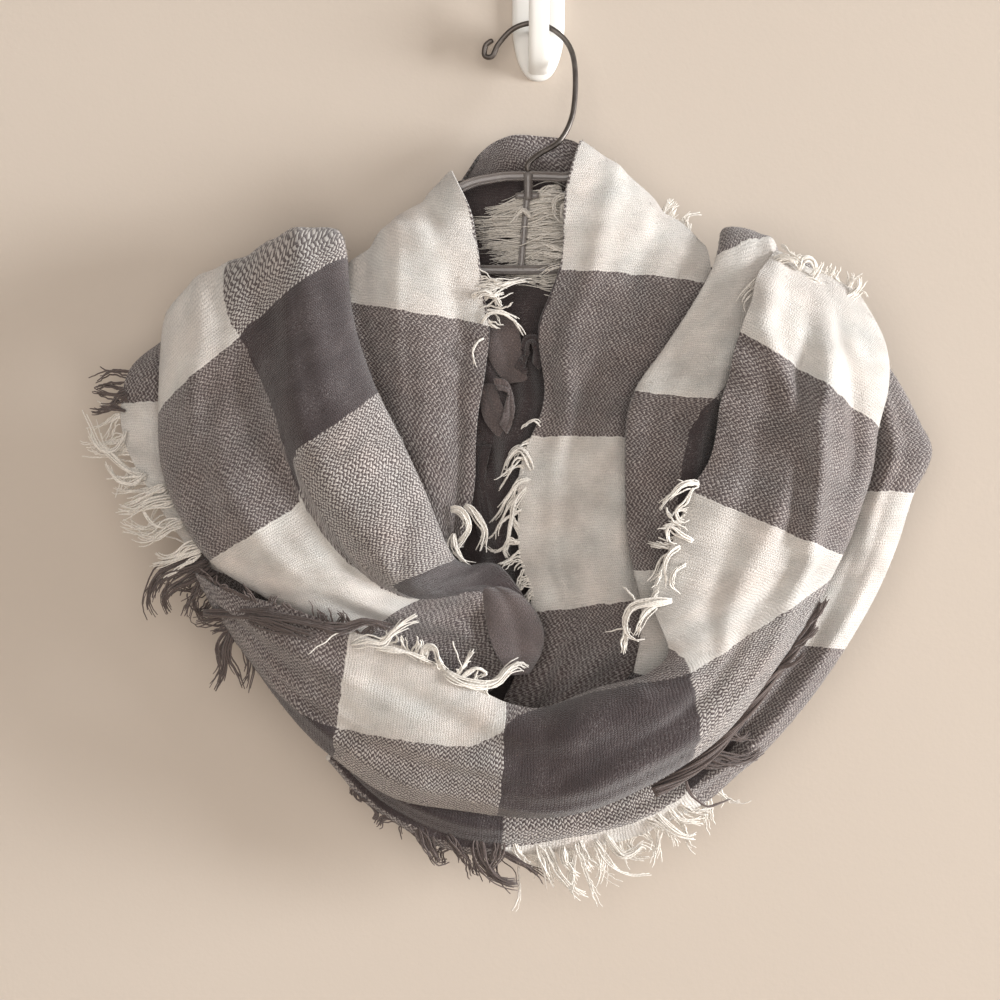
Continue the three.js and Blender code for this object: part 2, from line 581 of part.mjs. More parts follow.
addFringe("fringe_inner_right", innerTurn, "B", table(REACH, [
  [18.5, -10, -4, 3], [19, -12, -8, 3], [19.5, -12, -8, 2], [20, -10, -8, 2], [20.5, -9, -8, 2],
  [21, -8, -8, 2],
]), WHITE_YARN);
addFringe("fringe_neck", innerTurn, "A", table(REACH, [
  [8.5, 4, -14, 4], [9, 4, -22, 4], [9.5, 2, -30, 4], [10, 0, -34, 4], [10.5, -2, -30, 4],
  [11, -4, -22, 4], [11.5, -4, -14, 4],
]), WHITE_YARN);
addFringe("fringe_bottom_white", backSwag, "B", table(REACH, [
  [9, 11, -14, 3], [9.5, 12, -20, 4], [10, 10, -24, 4], [10.5, 7, -26, 4], [11, 5, -25, 4],
  [11.4, 4, -24, 4],
]), WHITE_YARN);
addFringe("fringe_bottom_dark", backSwag, "B", table(REACH, [
  [11.5, 6, -18, 4], [12, 5, -15, 3], [12.5, 3, -11, 3], [13, 2, -9, 3], [13.5, 0, -8, 3],
]), DARK_YARN);

export default group;
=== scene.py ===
# A blanket scarf woven in a large white and charcoal check, joined into a loop and worn double.
# It hangs on a small clear hanger, and the hanger's wire hangs on a white stick-on wall hook.
# Metres, with X to the right, Y into the wall and Z up; shapes are worked out in millimetres.

import math

import bpy
import numpy as np
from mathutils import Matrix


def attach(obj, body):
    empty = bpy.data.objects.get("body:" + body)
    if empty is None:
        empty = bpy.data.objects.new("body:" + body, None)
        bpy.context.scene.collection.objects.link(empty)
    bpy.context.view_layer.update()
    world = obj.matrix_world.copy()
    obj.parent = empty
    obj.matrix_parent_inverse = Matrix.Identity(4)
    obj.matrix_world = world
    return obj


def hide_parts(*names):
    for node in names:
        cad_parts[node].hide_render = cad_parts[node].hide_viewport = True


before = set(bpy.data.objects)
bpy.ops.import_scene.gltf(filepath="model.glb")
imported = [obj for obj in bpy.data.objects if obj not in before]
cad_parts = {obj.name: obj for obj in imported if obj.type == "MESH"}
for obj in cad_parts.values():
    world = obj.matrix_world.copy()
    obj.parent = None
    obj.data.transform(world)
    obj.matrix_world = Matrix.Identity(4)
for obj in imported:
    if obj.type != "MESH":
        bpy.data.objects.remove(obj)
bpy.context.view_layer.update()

# ---- The room -----------------------------------------------------------------------------
# A painted wall that the hook is stuck to, and a floor below. A window lights them from the
# right and a broad soft light from the room; a weak one behind the wall reaches only what faces
# the wall. The camera stands one and a half metres from it.

scene = bpy.context.scene
scene.view_settings.view_transform = "Standard"

camera_data = bpy.data.cameras.new("camera")
camera_data.sensor_width = 36.0
camera_data.lens = 97.8
camera = bpy.data.objects.new("camera", camera_data)
camera.location = (-0.0212, -1.5, -0.265)
camera.rotation_euler = (math.pi / 2, 0.0, 0.0)
scene.collection.objects.link(camera)
scene.camera = camera

SCARF_MIDDLE = (0.0, 0.0, -0.3)


def soft_light(name, where, size, watts, colour):
    """A square area light at a place, turned to face the middle of the scarf."""
    data = bpy.data.lights.new(name, "AREA")
    data.size = size
    data.energy = watts
    data.color = colour
    light = bpy.data.objects.new(name, data)
    light.location = where
    x, y, z = np.array(SCARF_MIDDLE) - np.array(where)
    light.rotation_euler = (math.atan2(math.hypot(x, y), -z), 0.0, math.atan2(y, x) - math.pi / 2)
    scene.collection.objects.link(light)


soft_light("window", (4.9, -1.5, -0.2), 1.7, 400.0, (0.97, 0.985, 1.0))
soft_light("room", (-0.3, -4.7, -0.1), 4.4, 146.0, (1.0, 0.95, 0.91))
soft_light("behind", (0.6, 3.2, 0.6), 3.0, 60.0, (1.0, 0.97, 0.94))


def feed(made, inputs):
    """Gives each named input of a node what it reads: a link from another node's socket, or
    else a fixed value."""
    for name, given in inputs.items():
        if isinstance(given, bpy.types.NodeSocket):
            made.id_data.links.new(given, made.inputs[name])
        else:
            made.inputs[name].default_value = given


def add_node(tree, kind, inputs=None, **settings):
    """A new shader node. Its settings come first, as they decide which sockets it has."""
    made = tree.nodes.new("ShaderNode" + kind)
    for name, setting in settings.items():
        setattr(made, name, setting)
    feed(made, inputs or {})
    return made


def value(tree, operation, *inputs, clamp=False):
    """The result of one sum on numbers and sockets, kept between 0 and 1 if clamp is set."""
    return add_node(tree, "Math", dict(enumerate(inputs)), operation=operation,
                    use_clamp=clamp).outputs[0]


def noise(tree, place, **inputs):
    """Soft noise over a place, from 0 to 1."""
    return add_node(tree, "TexNoise", {"Vector": place, **inputs}).outputs["Fac"]


def ramp(tree, given, *stops):
    """A colour that runs through the stops; each is a place from 0 to 1 and its colour."""
    made = add_node(tree, "ValToRGB", {"Fac": given})
    elements = made.color_ramp.elements
    for _ in stops[2:]:
        elements.new(0.5)
    for element, (place, colour) in zip(elements, stops):
        element.position = place
        element.color = (*colour, 1.0)
    return made.outputs["Color"]


def bump(tree, height, strength, distance):
    """The normal of a surface with a relief too fine to model, up to a distance in metres."""
    return add_node(tree, "Bump", {"Strength": strength, "Distance": distance,
                                   "Height": height}).outputs["Normal"]


def new_material(name):
    """An empty node material; gives the material, its tree and its Principled shader."""
    material = bpy.data.materials.new(name)
    material.use_nodes = True
    tree = material.node_tree
    return material, tree, tree.nodes["Principled BSDF"]


scene.world = bpy.data.worlds.new("room light")
scene.world.use_nodes = True
feed(scene.world.node_tree.nodes["Background"], {"Color": (1.0, 0.94, 0.88, 1.0), "Strength": 0.24})


def wall_paint():
    """Matt paint, clouded a little, and clear from behind so that the back can be seen. Shadow
    rays pass it too, so that the light behind the wall reaches the back of the cloth."""
    material, tree, shader = new_material("wall_paint")
    place = add_node(tree, "TexCoord").outputs["Object"]
    cloud = noise(tree, place, Scale=2.0, Detail=3.0)
    stipple = noise(tree, place, Scale=420.0)
    feed(shader, {
        "Base Color": ramp(tree, cloud, (0, (0.545, 0.475, 0.405)), (1, (0.585, 0.515, 0.445))),
        "Normal": bump(tree, stipple, 0.12, 0.0006), "Roughness": 0.9})
    clear = value(tree, "MAXIMUM", add_node(tree, "NewGeometry").outputs["Backfacing"],
                  add_node(tree, "LightPath").outputs["Is Shadow Ray"])
    mix = add_node(tree, "MixShader", {"Fac": clear, 1: shader.outputs["BSDF"],
                                       2: add_node(tree, "BsdfTransparent").outputs["BSDF"]})
    feed(tree.nodes["Material Output"], {"Surface": mix.outputs["Shader"]})
    return material


def plane(name, corners, material):
    """A flat four-cornered backdrop that isn't part of the object."""
    mesh = bpy.data.meshes.new(name)
    mesh.from_pydata(corners, [], [(0, 1, 2, 3)])
    mesh.materials.append(material)
    made = bpy.data.objects.new(name, mesh)
    scene.collection.objects.link(made)


SIDE, TOP, FRONT = 4, 3, -5
WALL, FLOOR = 0.0008, -0.8
paint = wall_paint()
plane("wall", [(-SIDE, WALL, FLOOR), (SIDE, WALL, FLOOR), (SIDE, WALL, TOP), (-SIDE, WALL, TOP)],
      paint)
plane("floor", [(-SIDE, FRONT, FLOOR), (SIDE, FRONT, FLOOR), (SIDE, WALL, FLOOR),
                (-SIDE, WALL, FLOOR)], paint)

# ---- Wall hook ----------------------------------------------------------------------------
# A stick-on hook, moulded in one piece from glossy white plastic: a domed plate with a round
# lower end, and a tongue that swells from its foot and turns up in front.

MILLIMETRE = 0.001


def smooth_mesh(name, vertices, faces):
    """A smooth-shaded object from vertices in millimetres and lists of their numbers."""
    mesh = bpy.data.meshes.new(name)
    mesh.from_pydata((vertices * MILLIMETRE).tolist(), [], faces)
    mesh.polygons.foreach_set("use_smooth", np.ones(len(faces), dtype=bool))
    mesh.update()
    made = bpy.data.objects.new(name, mesh)
    scene.collection.objects.link(made)
    return made


def unit(vectors):
    """The vectors, each divided by its length."""
    return vectors / np.maximum(np.linalg.norm(vectors, axis=-1, keepdims=True), 1e-9)


def run_along(points):
    """The length run so far at each point of a path, or of many paths at once."""
    step = np.linalg.norm(np.diff(points, axis=-2), axis=-1)
    return np.concatenate([np.zeros((*step.shape[:-1], 1)), np.cumsum(step, axis=-1)], axis=-1)


def closed_rings(name, points):
    """A closed piece over rings of points: walls from each ring to the next, and at both ends a
    fan to the ring's middle. The sign of the volume inside tells whether its faces look inward,
    and then they are turned over."""
    rows, columns = points.shape[:2]
    i, j = np.meshgrid(np.arange(rows - 1), np.arange(columns), indexing="ij")
    k = (j + 1) % columns
    faces = np.stack([i * columns + j, i * columns + k, (i + 1) * columns + k,
                      (i + 1) * columns + j], axis=-1).reshape(-1, 4).tolist()
    vertices = np.vstack([points.reshape(-1, 3), points[0].mean(axis=0), points[-1].mean(axis=0)])
    ring = np.arange(columns)
    after = (ring + 1) % columns
    last_row = (rows - 1) * columns
    faces += np.stack([np.full(columns, rows * columns), after, ring], axis=-1).tolist()
    faces += np.stack([np.full(columns, rows * columns + 1), ring + last_row,
                       after + last_row], axis=-1).tolist()
    piece = smooth_mesh(name, vertices, faces)
    mesh = piece.data
    mesh.calc_loop_triangles()
    corner = np.empty(len(mesh.vertices) * 3)
    mesh.vertices.foreach_get("co", corner)
    index = np.empty(len(mesh.loop_triangles) * 3, dtype=np.int32)
    mesh.loop_triangles.foreach_get("vertices", index)
    a, b, c = corner.reshape(-1, 3)[index.reshape(-1, 3)].transpose(1, 0, 2)
    if (a * np.cross(b, c)).sum() < 0:
        mesh.flip_normals()
    return piece


def join(name, parts):
    """Joins objects into one named piece."""
    with bpy.context.temp_override(active_object=parts[0], selected_editable_objects=parts):
        bpy.ops.object.join()
    parts[0].name = name
    return parts[0]


HOOK_WIDTH = 29.0
HOOK_HEIGHT = 68.0
TONGUE_WIDTH = 11.0
CHEEK_ROUND = 1.7
# The plate's rings: how far each is out of the wall, and its share of the outline.
PLATE_RINGS = [(0, 0.9), (0, 1.0), (1.6, 1.0), (2.9, 0.97), (3.7, 0.9), (4.2, 0.78), (4.6, 0.6),
               (4.85, 0.4), (4.97, 0.2), (5.0, 0.05)]


def hook_plate():
    """Rings that shrink from the outline towards the middle. The upper half of the outline is a
    rounded square, the lower half an ellipse, and the front rises to the middle as a dome."""
    turn = np.linspace(0.0, 2 * np.pi, 96, endpoint=False)
    cos, sin = np.cos(turn), np.sin(turn)
    x = HOOK_WIDTH / 2 * np.sign(cos) * np.abs(cos) ** np.where(sin > 0, 0.45, 0.85)
    z = HOOK_HEIGHT / 2 * np.sign(sin) * np.abs(sin) ** np.where(sin > 0, 0.45, 0.95)
    rings = [np.stack([share * x, np.full(len(turn), -out), share * z], axis=-1)
             for out, share in PLATE_RINGS]
    return closed_rings("plate", np.array(rings))


def cubic(a, b, c, d, f):
    """The Catmull-Rom cubic between b and c, a share f of the way, with a and d as neighbours."""
    return b + 0.5 * f * (c - a + f * (2 * a - 5 * b + 4 * c - d + f * (3 * (b - c) + d - a)))


def curve_through(knots, count, closed=False):
    """Points along the Catmull-Rom curve through the knots, evenly spaced by length."""
    knots = np.asarray(knots, dtype=float)
    total = len(knots) if closed else len(knots) - 1
    place = np.linspace(0, total, total * 24 + 1)
    i = np.minimum(place.astype(int), total - 1)
    near = i[:, None] + np.arange(-1, 3)
    near = near % len(knots) if closed else np.clip(near, 0, len(knots) - 1)
    fine = cubic(*knots[near].transpose(1, 0, 2), (place - i)[:, None])
    run = run_along(fine)
    wanted = np.linspace(0, run[-1], count)
    return np.stack([np.interp(wanted, run, fine[:, k]) for k in range(fine.shape[1])], axis=-1)


def hook_tongue():
    """The tongue's side outline, carried across its width; the outline draws in towards its
    middle line at both cheeks, so that the edges are round."""
    side = curve_through([(3.6, -30.5), (13, -28), (20, -21), (24.3, -9), (26.4, 2), (26.9, 11),
                          (25.2, 13.4), (23.4, 11), (22.3, 1), (19.2, -5.2), (13, -8.4),
                          (8, -8.4), (3.6, -6.5), (3.4, -18)], 120, closed=True)[:-1]
    cheek = np.sin(np.linspace(-np.pi / 2, np.pi / 2, 25))
    inset = CHEEK_ROUND * (1 - np.sqrt(np.clip(1 - np.abs(cheek) ** 3, 0, 1)))
    step = np.roll(side, -1, axis=0) - np.roll(side, 1, axis=0)
    drawn = side - inset[:, None, None] * unit(np.stack([step[:, 1], -step[:, 0]], axis=-1))
    x = np.repeat((cheek * TONGUE_WIDTH / 2)[:, None], len(side), axis=1)
    return closed_rings("tongue", np.stack([x, -drawn[..., 0], drawn[..., 1]], axis=-1))


def white_plastic(colour):
    """Smooth plastic whose colour clouds very slightly and whose skin has a faint ripple."""
    material, tree, shader = new_material("white_plastic")
    cloud = noise(tree, add_node(tree, "TexCoord").outputs["Object"], Scale=60.0)
    dull = (*(part * 0.93 for part in colour), 1.0)
    shade = add_node(tree, "Mix", {"Factor": cloud, "A": dull, "B": (*colour, 1.0)},
                     data_type="RGBA")
    feed(shader, {"Base Color": shade.outputs["Result"], "Roughness": 0.32,
                  "Normal": bump(tree, cloud, 0.1, 0.0003)})
    return material


wall_hook = join("stick_on_hook", [hook_plate(), hook_tongue()])
wall_hook.data.materials.append(white_plastic((0.88, 0.87, 0.83)))
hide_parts("wall_hook")
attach(wall_hook, "root")

# ---- Hanger wire --------------------------------------------------------------------------
# One length of dark plated steel wire: a small open eye at its tip, the hook's bend over the
# tongue, and a long slant down into the hanger's boss.

OUT_OF_WALL = np.array([0.0, -1.0, 0.0])


def swept(name, path, profile, size):
    """A closed profile carried along a path and scaled by its size there. At each point the
    profile's two axes stand square to the path: one as near as can be to the room's depth, the
    other square to both."""
    along = unit(np.gradient(path, axis=0))
    depth = unit(OUT_OF_WALL - along * (along @ OUT_OF_WALL)[:, None])
    side = np.cross(along, depth)
    size = size[:, None, None]
    points = (path[:, None] + side[:, None] * profile[None, :, :1] * size
              + depth[:, None] * profile[None, :, 1:] * size)
    return closed_rings(name, points)


def circle(sides):
    """A round profile of radius one."""
    turn = np.linspace(0, 2 * np.pi, sides, endpoint=False)
    return np.stack([np.cos(turn), np.sin(turn)], axis=-1)


WIRE = 3.0
HANGER_X = -6.0
HANGER_OUT = 37.0

wire_path = curve_through([
    (-25, -12, -13), (-29, -11.5, -16), (-29.5, -11.5, -21.5), (-25.5, -12.5, -22),
    (-22, -13.5, -15.5), (-15, -14, -8), (-7, -14.5, -4.6), (1, -14.3, -4.6), (10, -15.5, -9.5),
    (16.5, -16.5, -17), (19.5, -19, -28), (19.5, -24, -46), (17, -28, -60), (10.5, -32, -71.5),
    (0, -35, -78.5), (HANGER_X, -HANGER_OUT, -84), (HANGER_X, -HANGER_OUT, -88)], 260)
wire_round = np.full(len(wire_path), WIRE / 2)
wire_round[:3] = WIRE / 2 * np.array([0.55, 0.85, 0.97])
hanger_wire = swept("hanger_hook_wire", wire_path, circle(20), wire_round)


def plated_wire():
    """Dark plating, worn by handling: the wear changes both its shade and its roughness."""
    material, tree, shader = new_material("dark_wire")
    wear = noise(tree, add_node(tree, "TexCoord").outputs["Object"], Scale=220.0, Detail=5.0)
    rough = add_node(tree, "MapRange", {"Value": wear, "To Min": 0.32, "To Max": 0.55})
    feed(shader, {
        "Base Color": ramp(tree, wear, (0, (0.075, 0.062, 0.055)), (1, (0.20, 0.18, 0.165))),
        "Metallic": 0.85, "Roughness": rough.outputs["Result"]})
    return material


hanger_wire.data.materials.append(plated_wire())
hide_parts("hanger_wire")
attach(hanger_wire, "root")

# ---- Hanger body --------------------------------------------------------------------------
# One moulding in smoky clear plastic. The arms, bar and strut are two round ribs with a thin
# web between them, and a boss in the middle grips the wire.

RAIL = 5.4
STRUT = 3.6
ARM_OUT = 38.0
BOSS_REACH = 7.5


def ribbed_profile():
    """Two round ribs joined by a web: the half thickness swells at both edges of the rail."""
    turn = np.linspace(0, 2 * np.pi, 32, endpoint=False)
    wide = np.cos(turn)
    rib = 0.24 + 0.42 * np.exp(-((np.abs(wide) - 0.74) / 0.2) ** 2)
    return np.stack([wide, np.sign(np.sin(turn)) * np.minimum(np.abs(np.sin(turn)) * 1.6, 1) * rib],
                    axis=-1)


def rail(name, knots, count, wide=RAIL):
    """A ribbed rail along a smooth path, drawn in a little at both ends."""
    size = np.full(count, wide / 2)
    size[0] = size[-1] = wide / 2 * 0.8
    return swept(name, curve_through(knots, count), ribbed_profile(), size)


arms = rail("arms", [
    (-119, -ARM_OUT, -125.5), (-119.5, -ARM_OUT, -134), (-113, -ARM_OUT, -144.5),
    (-99, -ARM_OUT, -147), (-74, -ARM_OUT, -122), (-44, -ARM_OUT, -98),
    (-24, -HANGER_OUT, -91.5), (HANGER_X, -HANGER_OUT, -90.5), (10, -HANGER_OUT, -91),
    (30, -ARM_OUT, -93), (60, -ARM_OUT, -116.5), (84, -ARM_OUT, -138.5), (97, -ARM_OUT, -142),
    (106, -ARM_OUT, -134), (108, -ARM_OUT, -125.5)], 150)
bar = rail("bar", [(-96, -ARM_OUT, -141), (-60, -ARM_OUT, -141), (HANGER_X, -HANGER_OUT, -141),
                   (50, -ARM_OUT, -141), (86, -ARM_OUT, -139)], 60)
strut = rail("strut", [(HANGER_X, -HANGER_OUT, -94), (-8, -HANGER_OUT, -118),
                       (-10, -HANGER_OUT, -141)], 24, STRUT)
bracket = rail("bracket", [(HANGER_X - 7, -HANGER_OUT, -101), (HANGER_X + 6, -HANGER_OUT, -101)],
               8, STRUT)
boss_rise = BOSS_REACH * np.array([1, 0.97, 0.9, 0.5, 0, -0.5, -0.9, -0.97, -1])
boss_round = np.array([1.8, 2.3, 2.7, 2.6, 2.5, 2.4, 2.4, 2.2, 1.7])
boss_path = np.stack([np.full(len(boss_rise), HANGER_X), np.full(len(boss_rise), -HANGER_OUT),
                      -96 + boss_rise], axis=-1)
boss = swept("boss", boss_path, circle(24), boss_round)


def smoky_plastic():
    """Clear plastic with a grey tint, a little cloudy from handling."""
    material, tree, shader = new_material("clear_plastic")
    cloud = noise(tree, add_node(tree, "TexCoord").outputs["Object"], Scale=150.0)
    rough = add_node(tree, "MapRange", {"Value": cloud, "To Min": 0.12, "To Max": 0.35})
    feed(shader, {
        "Base Color": ramp(tree, cloud, (0, (0.15, 0.13, 0.125)), (1, (0.26, 0.235, 0.22))),
        "Roughness": rough.outputs["Result"], "Alpha": 0.74, "Coat Weight": 1.0,
        "Coat Roughness": 0.08, "IOR": 1.46})
    return material


hanger_body = join("hanger_moulding", [arms, bar, strut, bracket, boss])
hanger_body.data.materials.append(smoky_plastic())
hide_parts("hanger_body")
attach(hanger_body, "root")

# ---- The cloth, and the inner turn --------------------------------------------------------
# One woven band with raw, fringed long edges. The inner turn climbs to the hanger's left arm,
# passes behind the neck, and comes over the right arm down to the foot as a long strip.

CLOTH = 1.7
CURL = 5.0
WARP_PITCH = 1.15
WEFT_PITCH = 1.4
CHECK = 90.0
SHAPE_COLUMNS = 10


def between_rows(rows, s):
    """Every column of a table taken smoothly at s, counted in rows: the cubic through the four
    nearest rows."""
    last = len(rows) - 1
    i = np.clip(np.floor(s).astype(int), 0, last - 1)
    return cubic(*(rows[np.clip(i + k, 0, last)] for k in (-1, 0, 1, 2)), (s - i)[:, None])


def crease_height(creases, s, t):
    """The sum of soft ridges and troughs. Each is a bell across a straight line that runs from
    one place in the band to another, and it fades out as a bell past its two ends."""
    total = np.zeros(np.broadcast(s, t).shape)
    for from_row, from_across, to_row, to_across, wide, high in creases:
        run = np.clip((s - from_row) / (to_row - from_row), 0, 1)
        past = np.maximum(np.maximum(from_row - s, s - to_row), 0)
        side = (t - (from_across + (to_across - from_across) * run)) / wide
        total = total + high * np.exp(-side ** 2 - past ** 2)
    return total


def stretch_surface(rows, creases, s, t):
    """The middle of a stretch of cloth. A section is a half ellipse standing on the line from
    edge A to edge B; a folded edge (positive turn) curls on behind round a small circle, and a
    raw edge (negative turn) stops short of the ellipse's end and lies flat. Gives the points
    and their angles round the section."""
    section = between_rows(np.asarray(rows, dtype=float)[:, :SHAPE_COLUMNS], s)
    ax, az, aout, bx, bz, bout, crown, face, turn_a, turn_b = section.T[..., None]
    a = np.concatenate([ax, -aout, az], axis=1)[:, None]
    b = np.concatenate([bx, -bout, bz], axis=1)[:, None]
    width = np.linalg.norm(b - a, axis=2)
    chord = (b - a) / width[..., None]
    face = np.radians(face)
    front = np.stack([0 * face, -np.cos(face), np.sin(face)], axis=-1)
    front = unit(front - chord * (front * chord).sum(axis=2, keepdims=True))
    start, end = np.radians(-turn_a), np.pi + np.radians(turn_b)
    angle = start + (end - start) * t[None]
    raw_a, raw_b = np.maximum(start, 0), np.minimum(end, np.pi)
    held = np.clip(angle, 0, np.pi)
    across = (np.cos(raw_a) - np.cos(held)) / (np.cos(raw_a) - np.cos(raw_b))
    lift = np.sin(held) - (np.sin(raw_a) * (1 - across) + np.sin(raw_b) * across)
    past = np.maximum(np.maximum(-angle, angle - np.pi), 0)
    curl = CURL * (1 - np.cos(past))
    side = width * across + np.where(angle < 0, curl, -curl)
    height = crown * lift - CURL * np.sin(past) + crease_height(creases, s[:, None], across)
    return a + chord * side[..., None] + front * height[..., None], angle


def share_across(points, angle):
    """How far across each point of a grid lies, by length along its section: 0 at edge A's
    silhouette and 1 at edge B's."""
    run = run_along(points)
    edge_a, edge_b = (np.array([np.interp(edge, turn, far) for turn, far in zip(angle, run)])
                      for edge in (0.0, np.pi))
    return (run - edge_a[:, None]) / (edge_b - edge_a)[:, None]


def surface_normal(points):
    """The direction that a grid faces: the cross product of its two steps."""
    return unit(np.cross(np.gradient(points, axis=0), np.gradient(points, axis=1)))


def gentle_noise(x, y, seed):
    """A smooth field between about -1 and 1: a sum of plane waves in seeded directions, so it
    has no grid and repeats nowhere in a piece."""
    chance = np.random.default_rng(seed)
    waves = 7
    total = 0.0
    for _ in range(waves):
        way = chance.uniform(0, 2 * np.pi)
        rate = chance.uniform(0.6, 1.5)
        total = total + np.sin(rate * (x * np.cos(way) + y * np.sin(way))
                               + chance.uniform(0, 2 * np.pi))
    return total / np.sqrt(waves)


def add_uv(piece, name, values):
    """Puts a value for each vertex into a UV map of the piece's mesh."""
    mesh = piece.data
    index = np.empty(len(mesh.loops), dtype=np.int32)
    mesh.loops.foreach_get("vertex_index", index)
    layer = mesh.uv_layers.new(name=name)
    layer.data.foreach_set("uv", np.asarray(values)[index].reshape(-1))


def cloth_band(rows, creases, steps, columns, seed, ripple=0.5, tucks=((0, 0), (1, 0))):
    """A whole band as one grid, steps lines to each row of its table, with small uneven ripples
    that grow towards its raw edges, which also wander in and out. The last four columns of the
    table give the place in the woven pattern, in millimetres, shared out along the arc from edge
    A to edge B. tucks (row, length) is cloth hidden in the fold beside the first colour border:
    past it the pattern has moved on by that length."""
    table = np.asarray(rows, dtype=float)
    s = np.linspace(0, len(table) - 1, (len(table) - 1) * steps + 1)
    points, angle = stretch_surface(table, creases, s, np.linspace(0, 1, columns))
    share = share_across(points, angle)
    along_a, along_b, across_a, across_b = between_rows(table[:, SHAPE_COLUMNS:], s).T[..., None]
    along = along_a + (along_b - along_a) * share
    across = across_a + (across_b - across_a) * share
    tuck = np.interp(s, [row for row, _ in tucks], [hidden for _, hidden in tucks])[:, None]
    turn = np.clip((across - CHECK + 3) / 6, 0, 1)
    along = along + tuck * turn * turn * (3 - 2 * turn)
    raw_a, raw_b = np.clip(-between_rows(table[:, 8:SHAPE_COLUMNS], s).T[..., None] / 30, 0, 1)
    loose = (raw_a * np.exp(-np.maximum(share, 0) / 0.1)
             + raw_b * np.exp(-np.maximum(1 - share, 0) / 0.1))
    size = ripple * gentle_noise(along / 11, across / 11, seed)
    size = size + 1.1 * loose * gentle_noise(along / 5, across / 14, seed + 50)
    points = points + surface_normal(points) * size[..., None]
    sideways = unit(np.gradient(points, axis=1))
    wander = 1.5 * loose * gentle_noise(along / 9, 0 * along, seed + 90)
    points = points + sideways * wander[..., None]
    return {"points": points, "normal": surface_normal(points), "across": across,
            "along": along, "steps": steps, "rows": len(table) - 1}


def cloth_shell(name, band, start, end):
    """A closed wall round the band between two of its rows: half the cloth's thickness to each
    side along the normal, with the rim rounded by a ring of points pushed outwards."""
    part = slice(start * band["steps"], end * band["steps"] + 1)
    points, normal = band["points"][part], band["normal"][part]
    rows, columns = points.shape[:2]
    number = np.arange(rows * columns).reshape(rows, columns)
    rim = np.concatenate([number[0, :-1], number[:-1, -1], number[-1, :0:-1], number[:0:-1, 0]])
    outward = np.zeros_like(points)
    outward[:, 0] = points[:, 0] - points[:, 1]
    outward[:, -1] = points[:, -1] - points[:, -2]
    outward[0] = outward[0] + (points[0] - points[1]) * (start == 0)
    outward[-1] = outward[-1] + (points[-1] - points[-2]) * (end == band["rows"])
    flat_points, flat_normal = points.reshape(-1, 3), normal.reshape(-1, 3)
    push = outward.reshape(-1, 3)[rim]
    push = push / np.maximum(np.linalg.norm(push, axis=1, keepdims=True), 1e-6)
    half = flat_normal * CLOTH / 2
    vertices = np.vstack([flat_points + half, flat_points - half,
                          flat_points[rim] + push * CLOTH * 0.35])
    top = np.stack([number[:-1, :-1], number[1:, :-1], number[1:, 1:], number[:-1, 1:]],
                   axis=-1).reshape(-1, 4)
    under = top[:, ::-1] + rows * columns
    ring = np.arange(len(rim)) + 2 * rows * columns
    after, ring_after = np.roll(rim, -1), np.roll(ring, -1)
    upper = np.stack([rim, after, ring_after, ring], axis=-1)
    lower = np.stack([ring, ring_after, after + rows * columns, rim + rows * columns], axis=-1)
    piece = smooth_mesh(name, vertices, np.vstack([top, under, upper, lower]).tolist())
    place = np.stack([band["across"][part], band["along"][part]], axis=-1).reshape(-1, 2)
    add_uv(piece, "band", np.vstack([place, place, place[rim]]) * MILLIMETRE)
    push = np.where(np.abs(push).sum(axis=1, keepdims=True) > 0.5, push, flat_normal[rim])
    facing = np.vstack([flat_normal, -flat_normal, push])
    piece.data.normals_split_custom_set_from_vertices(facing.tolist())
    return piece


def new_group(name, *results):
    """An empty node group that takes a place in the woven pattern, in millimetres; gives the
    group, the socket of that place, and the node that the results leave by."""
    tree = bpy.data.node_groups.new(name, "ShaderNodeTree")
    tree.interface.new_socket("Place", in_out="INPUT", socket_type="NodeSocketVector")
    for result in results:
        tree.interface.new_socket(result, in_out="OUTPUT", socket_type="NodeSocketFloat")
    place = tree.nodes.new("NodeGroupInput").outputs["Place"]
    return tree, place, tree.nodes.new("NodeGroupOutput")


